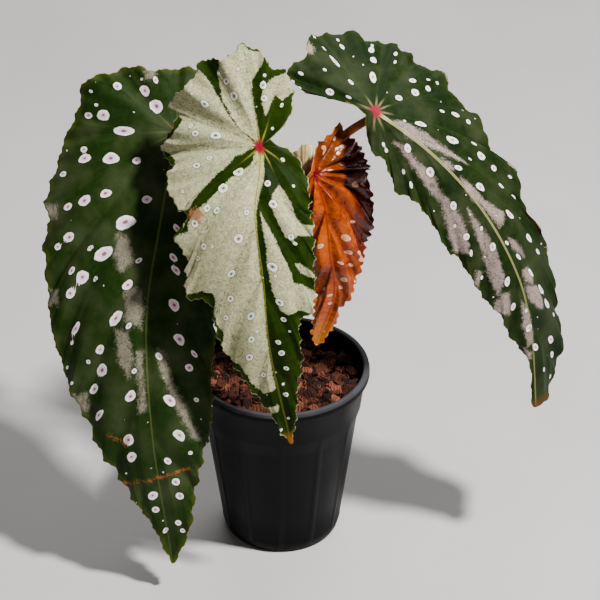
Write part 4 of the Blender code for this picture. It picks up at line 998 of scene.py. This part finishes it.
def cane_material():
    """Ripening begonia cane: smooth green-brown bark turned red brown, with pale flecks of cork."""
    made, tree, shader = new_material("ripening_cane_bark", Roughness=0.42, Specular_IOR_Level=0.25)
    place = node(tree, "TexCoord").outputs["Object"]
    stretch = node(tree, "Mapping", {"Vector": place, "Scale": (1.0, 1.0, 0.35)}).outputs[0]
    cloud = node(tree, "TexNoise", {"Vector": stretch, "Scale": 90.0, "Detail": 4.0}).outputs["Fac"]
    cork = node(tree, "TexVoronoi", {"Vector": stretch, "Scale": 260.0}).outputs["Distance"]
    fleck = node(tree, "MapRange", {"Value": cork, "From Min": 0.22, "From Max": 0.12, "To Max": 0.7}).outputs[0]
    blend = node(tree, "MapRange", {"Value": cloud, "From Min": 0.35, "From Max": 0.65}).outputs[0]
    colour = node(tree, "Mix", {0: blend, 6: linear("#5E2A0C"), 7: linear("#945020")}, data_type="RGBA").outputs[2]
    colour = node(tree, "Mix", {0: fleck, 6: colour, 7: linear("#A9805A")}, data_type="RGBA").outputs[2]
    tree.links.new(colour, shader.inputs["Base Color"])
    bump = node(tree, "Bump", {"Height": cloud, "Strength": 0.3, "Distance": 0.4 * MM})
    tree.links.new(bump.outputs[0], shader.inputs["Normal"])
    return made


def make_bract(looks):
    """Dry stipule: a sheath of radius + flare * exp(-(turn / 40) ** 2) about the cane, creased and torn at its top."""
    rows, columns = 40, 110
    a = np.linspace(0, 1, rows)[:, None]
    b = np.linspace(0, 1, columns)[None, :]
    degrees = BRACT_TURN[0] + (BRACT_TURN[1] - BRACT_TURN[0]) * b
    crease = 0.1 * np.sin(b * 44 + 2 * a) * a + 0.16 * np.sin(b * 15 - 3 * a)
    tear = 1 - 0.06 * np.abs(np.sin(b * 17)) - 0.03 * np.abs(np.sin(b * 43 + 1))
    layers = []
    for offset in (0.55, 0.15):
        radius = BRACT_RADIUS + BRACT_FLARE * a * np.exp(-(degrees / 40.0) ** 2) + offset + crease
        height = (BRACT_HEIGHT[0] + (BRACT_HEIGHT[1] - BRACT_HEIGHT[0]) * np.sin(math.pi * b / 1.4) ** 2) * tear
        turn = np.radians(degrees)
        layers.append(np.stack([BRACT_AXIS[0] - radius * np.cos(turn), BRACT_AXIS[1] - radius * np.sin(turn),
                                BRACT_FOOT + a * height], -1).reshape(-1, 3))
    number = np.arange(rows * columns).reshape(rows, columns)
    quads = np.stack([number[:-1, :-1], number[:-1, 1:], number[1:, 1:], number[1:, :-1]], -1).reshape(-1, 4)
    shift = rows * columns
    border = np.concatenate([number[0, :-1], number[:-1, -1], number[-1, :0:-1], number[:0:-1, 0]])
    after = np.roll(border, -1)
    band = np.stack([border, border + shift, after + shift, after], -1)
    faces = np.concatenate([quads, quads[:, ::-1] + shift, band])
    bract = add_piece("papery_bract", np.concatenate(layers), faces, bract_material(), "bract")
    shape = bmesh.new()
    shape.from_mesh(bract.data)
    bmesh.ops.recalc_face_normals(shape, faces=shape.faces)
    shape.to_mesh(bract.data)
    shape.free()
    return bract


def bract_material():
    """Dried stipule: papery cream tissue browning along its fibres, dull, thin and slightly see-lit."""
    made, tree, shader = new_material("dried_papery_tissue", Roughness=0.6, Specular_IOR_Level=0.2)
    place = node(tree, "TexCoord").outputs["Object"]
    stretch = node(tree, "Mapping", {"Vector": place, "Scale": (1.0, 1.0, 0.2)}).outputs[0]
    fibre = node(tree, "TexNoise", {"Vector": stretch, "Scale": 700.0, "Detail": 4.0}).outputs["Fac"]
    cloud = node(tree, "TexNoise", {"Vector": place, "Scale": 120.0, "Detail": 3.0}).outputs["Fac"]
    mixed = node(tree, "Math", {0: fibre, 1: cloud}, operation="MULTIPLY").outputs[0]
    blend = node(tree, "MapRange", {"Value": mixed, "From Min": 0.26, "From Max": 0.12, "To Max": 0.65}).outputs[0]
    height = node(tree, "SeparateXYZ", {0: place}).outputs[2]
    foot = node(tree, "MapRange", {"Value": height, "From Min": (BRACT_FOOT + 11.0) * MM, "From Max": BRACT_FOOT * MM}).outputs[0]
    colour = linear("#FFE6A6")
    for factor, tone in ((blend, "#A0743C"), (foot, "#6A2C14")):
        colour = node(tree, "Mix", {0: factor, 6: colour, 7: linear(tone)}, data_type="RGBA").outputs[2]
    tree.links.new(colour, shader.inputs["Base Color"])
    bump = node(tree, "Bump", {"Height": fibre, "Strength": 0.5, "Distance": 0.2 * MM})
    tree.links.new(bump.outputs[0], shader.inputs["Normal"])
    return made


def make_stage(looks):
    """Pale floor, soft key from the upper right front, weak fill, and the camera at 33 degrees."""
    points = [(-2600, -2600, 0), (2600, -2600, 0), (2600, 2600, 0), (-2600, 2600, 0)]
    mesh = bpy.data.meshes.new("floor")
    mesh.from_pydata([tuple(c * MM for c in p) for p in points], [], [(0, 1, 2, 3)])
    made, tree, shader = new_material("painted_board", Roughness=0.8)
    place = node(tree, "TexCoord").outputs["Object"]
    cloud = node(tree, "TexNoise", {"Vector": place, "Scale": 7.0, "Detail": 3.0}).outputs["Fac"]
    colour = node(tree, "Mix", {0: cloud, 6: linear("#B6B3B1"), 7: linear("#C6C3C1")}, data_type="RGBA").outputs[2]
    tree.links.new(colour, shader.inputs["Base Color"])
    mesh.materials.append(made)
    floor = bpy.data.objects.new("floor", mesh)
    bpy.context.scene.collection.objects.link(floor)
    world = bpy.data.worlds.new("soft_room")
    bpy.context.scene.world = world
    world.use_nodes = True
    world.node_tree.nodes["Background"].inputs[0].default_value = linear("#E6E7EA")
    world.node_tree.nodes["Background"].inputs[1].default_value = looks.fill_strength
    for name, aim, distance, size, energy in (
            ("key", (0.433, -0.25, 0.866), 1.7, 0.16, looks.key_energy), ("side_fill", (-0.7, -0.6, 0.4), 2.0, 1.2, 1.0),
            ("back_fill", (0.1, 0.66, 0.75), 2.5, 2.4, 40.0)):
        data = bpy.data.lights.new(name, "AREA")
        data.shape = "DISK"
        data.size = size
        data.energy = energy
        lamp = bpy.data.objects.new(name, data)
        way = Vector(aim).normalized()
        lamp.location = Vector((0.0, 0.0, 0.17)) + way * distance
        lamp.rotation_euler = way.to_track_quat("Z", "Y").to_euler()
        bpy.context.scene.collection.objects.link(lamp)
    data = bpy.data.cameras.new("camera")
    data.lens = 144.0
    data.sensor_width = 36.0
    camera = bpy.data.objects.new("camera", data)
    camera.location = (0.013, -1.3294, 1.0449)
    camera.rotation_euler = (math.radians(57), 0, 0)
    bpy.context.scene.collection.objects.link(camera)
    bpy.context.scene.camera = camera


class BegoniaLooks(bpy.types.PropertyGroup):
    """Sizes and colours of the plant."""
    leaf_thickness: FloatProperty(name="Leaf thickness", description="Thickness of a blade away from its margin",
                                  default=0.7 * MM, min=0.3 * MM, max=2 * MM, precision=5, unit="LENGTH")
    mesh_step: FloatProperty(name="Mesh step", description="Spacing of a blade's grid along its margin",
                             default=1.15 * MM, min=0.8 * MM, max=8 * MM, precision=5, unit="LENGTH")
    pot_colour: FloatVectorProperty(name="Pot", description="Colour of the pot's plastic", subtype="COLOR",
                                    default=linear("#060607")[:3], min=0, max=1)
    bark_chips: IntProperty(name="Bark chips", description="How many chips lie on the mix", default=900, min=50, max=1500)
    key_energy: FloatProperty(name="Key light", description="Power of the key light", default=70.0, min=0.0, unit="POWER")
    fill_strength: FloatProperty(name="Fill light", description="Strength of the even fill", default=0.13, min=0.0)


class BEGONIA_OT_leaves(bpy.types.Operator):
    """Make the four leaf blades"""
    bl_idname = "begonia.leaves"
    bl_label = "Leaf blades"

    def execute(self, context):
        for name, leaf in LEAVES.items():
            make_leaf(name, leaf, context.scene.begonia_looks)
        return {"FINISHED"}


class BEGONIA_OT_cane(bpy.types.Operator):
    """Make the cane with its leaf stalks"""
    bl_idname = "begonia.cane"
    bl_label = "Cane and stalks"

    def execute(self, context):
        make_cane(context.scene.begonia_looks)
        return {"FINISHED"}


class BEGONIA_OT_bract(bpy.types.Operator):
    """Make the papery bract at the cane's top"""
    bl_idname = "begonia.bract"
    bl_label = "Papery bract"

    def execute(self, context):
        make_bract(context.scene.begonia_looks)
        return {"FINISHED"}


class BEGONIA_OT_pot(bpy.types.Operator):
    """Make the nursery pot and its stacking lug"""
    bl_idname = "begonia.pot"
    bl_label = "Nursery pot"

    def execute(self, context):
        make_pot(context.scene.begonia_looks)
        make_lug(context.scene.begonia_looks)
        return {"FINISHED"}


class BEGONIA_OT_bark(bpy.types.Operator):
    """Make the bark chips and fibres of the potting mix"""
    bl_idname = "begonia.bark"
    bl_label = "Potting mix"

    def execute(self, context):
        make_bark(context.scene.begonia_looks)
        return {"FINISHED"}


class BEGONIA_OT_stage(bpy.types.Operator):
    """Make the floor, the lights and the camera"""
    bl_idname = "begonia.stage"
    bl_label = "Stage"

    def execute(self, context):
        make_stage(context.scene.begonia_looks)
        return {"FINISHED"}


OPERATORS = (BEGONIA_OT_stage, BEGONIA_OT_pot, BEGONIA_OT_bark, BEGONIA_OT_cane, BEGONIA_OT_bract, BEGONIA_OT_leaves)


class BEGONIA_PT_panel(bpy.types.Panel):
    """Buttons and settings of the plant."""
    bl_idname = "BEGONIA_PT_panel"
    bl_label = "Potted begonia"
    bl_space_type = "VIEW_3D"
    bl_region_type = "UI"
    bl_category = "Begonia"

    def draw(self, context):
        for key in BegoniaLooks.__annotations__:
            self.layout.prop(context.scene.begonia_looks, key)
        for operator in OPERATORS:
            self.layout.operator(operator.bl_idname)


def register():
    """Register the settings, the operators and the panel."""
    for known in (BegoniaLooks, *OPERATORS, BEGONIA_PT_panel):
        bpy.utils.register_class(known)
    bpy.types.Scene.begonia_looks = PointerProperty(type=BegoniaLooks)


def unregister():
    """Take the classes away again."""
    del bpy.types.Scene.begonia_looks
    for known in (BEGONIA_PT_panel, *reversed(OPERATORS), BegoniaLooks):
        bpy.utils.unregister_class(known)


def main():
    """Make every piece in order."""
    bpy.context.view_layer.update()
    register()
    for operator in OPERATORS:
        getattr(bpy.ops.begonia, operator.bl_idname.split(".")[1])()


if __name__ == "__main__":
    main()
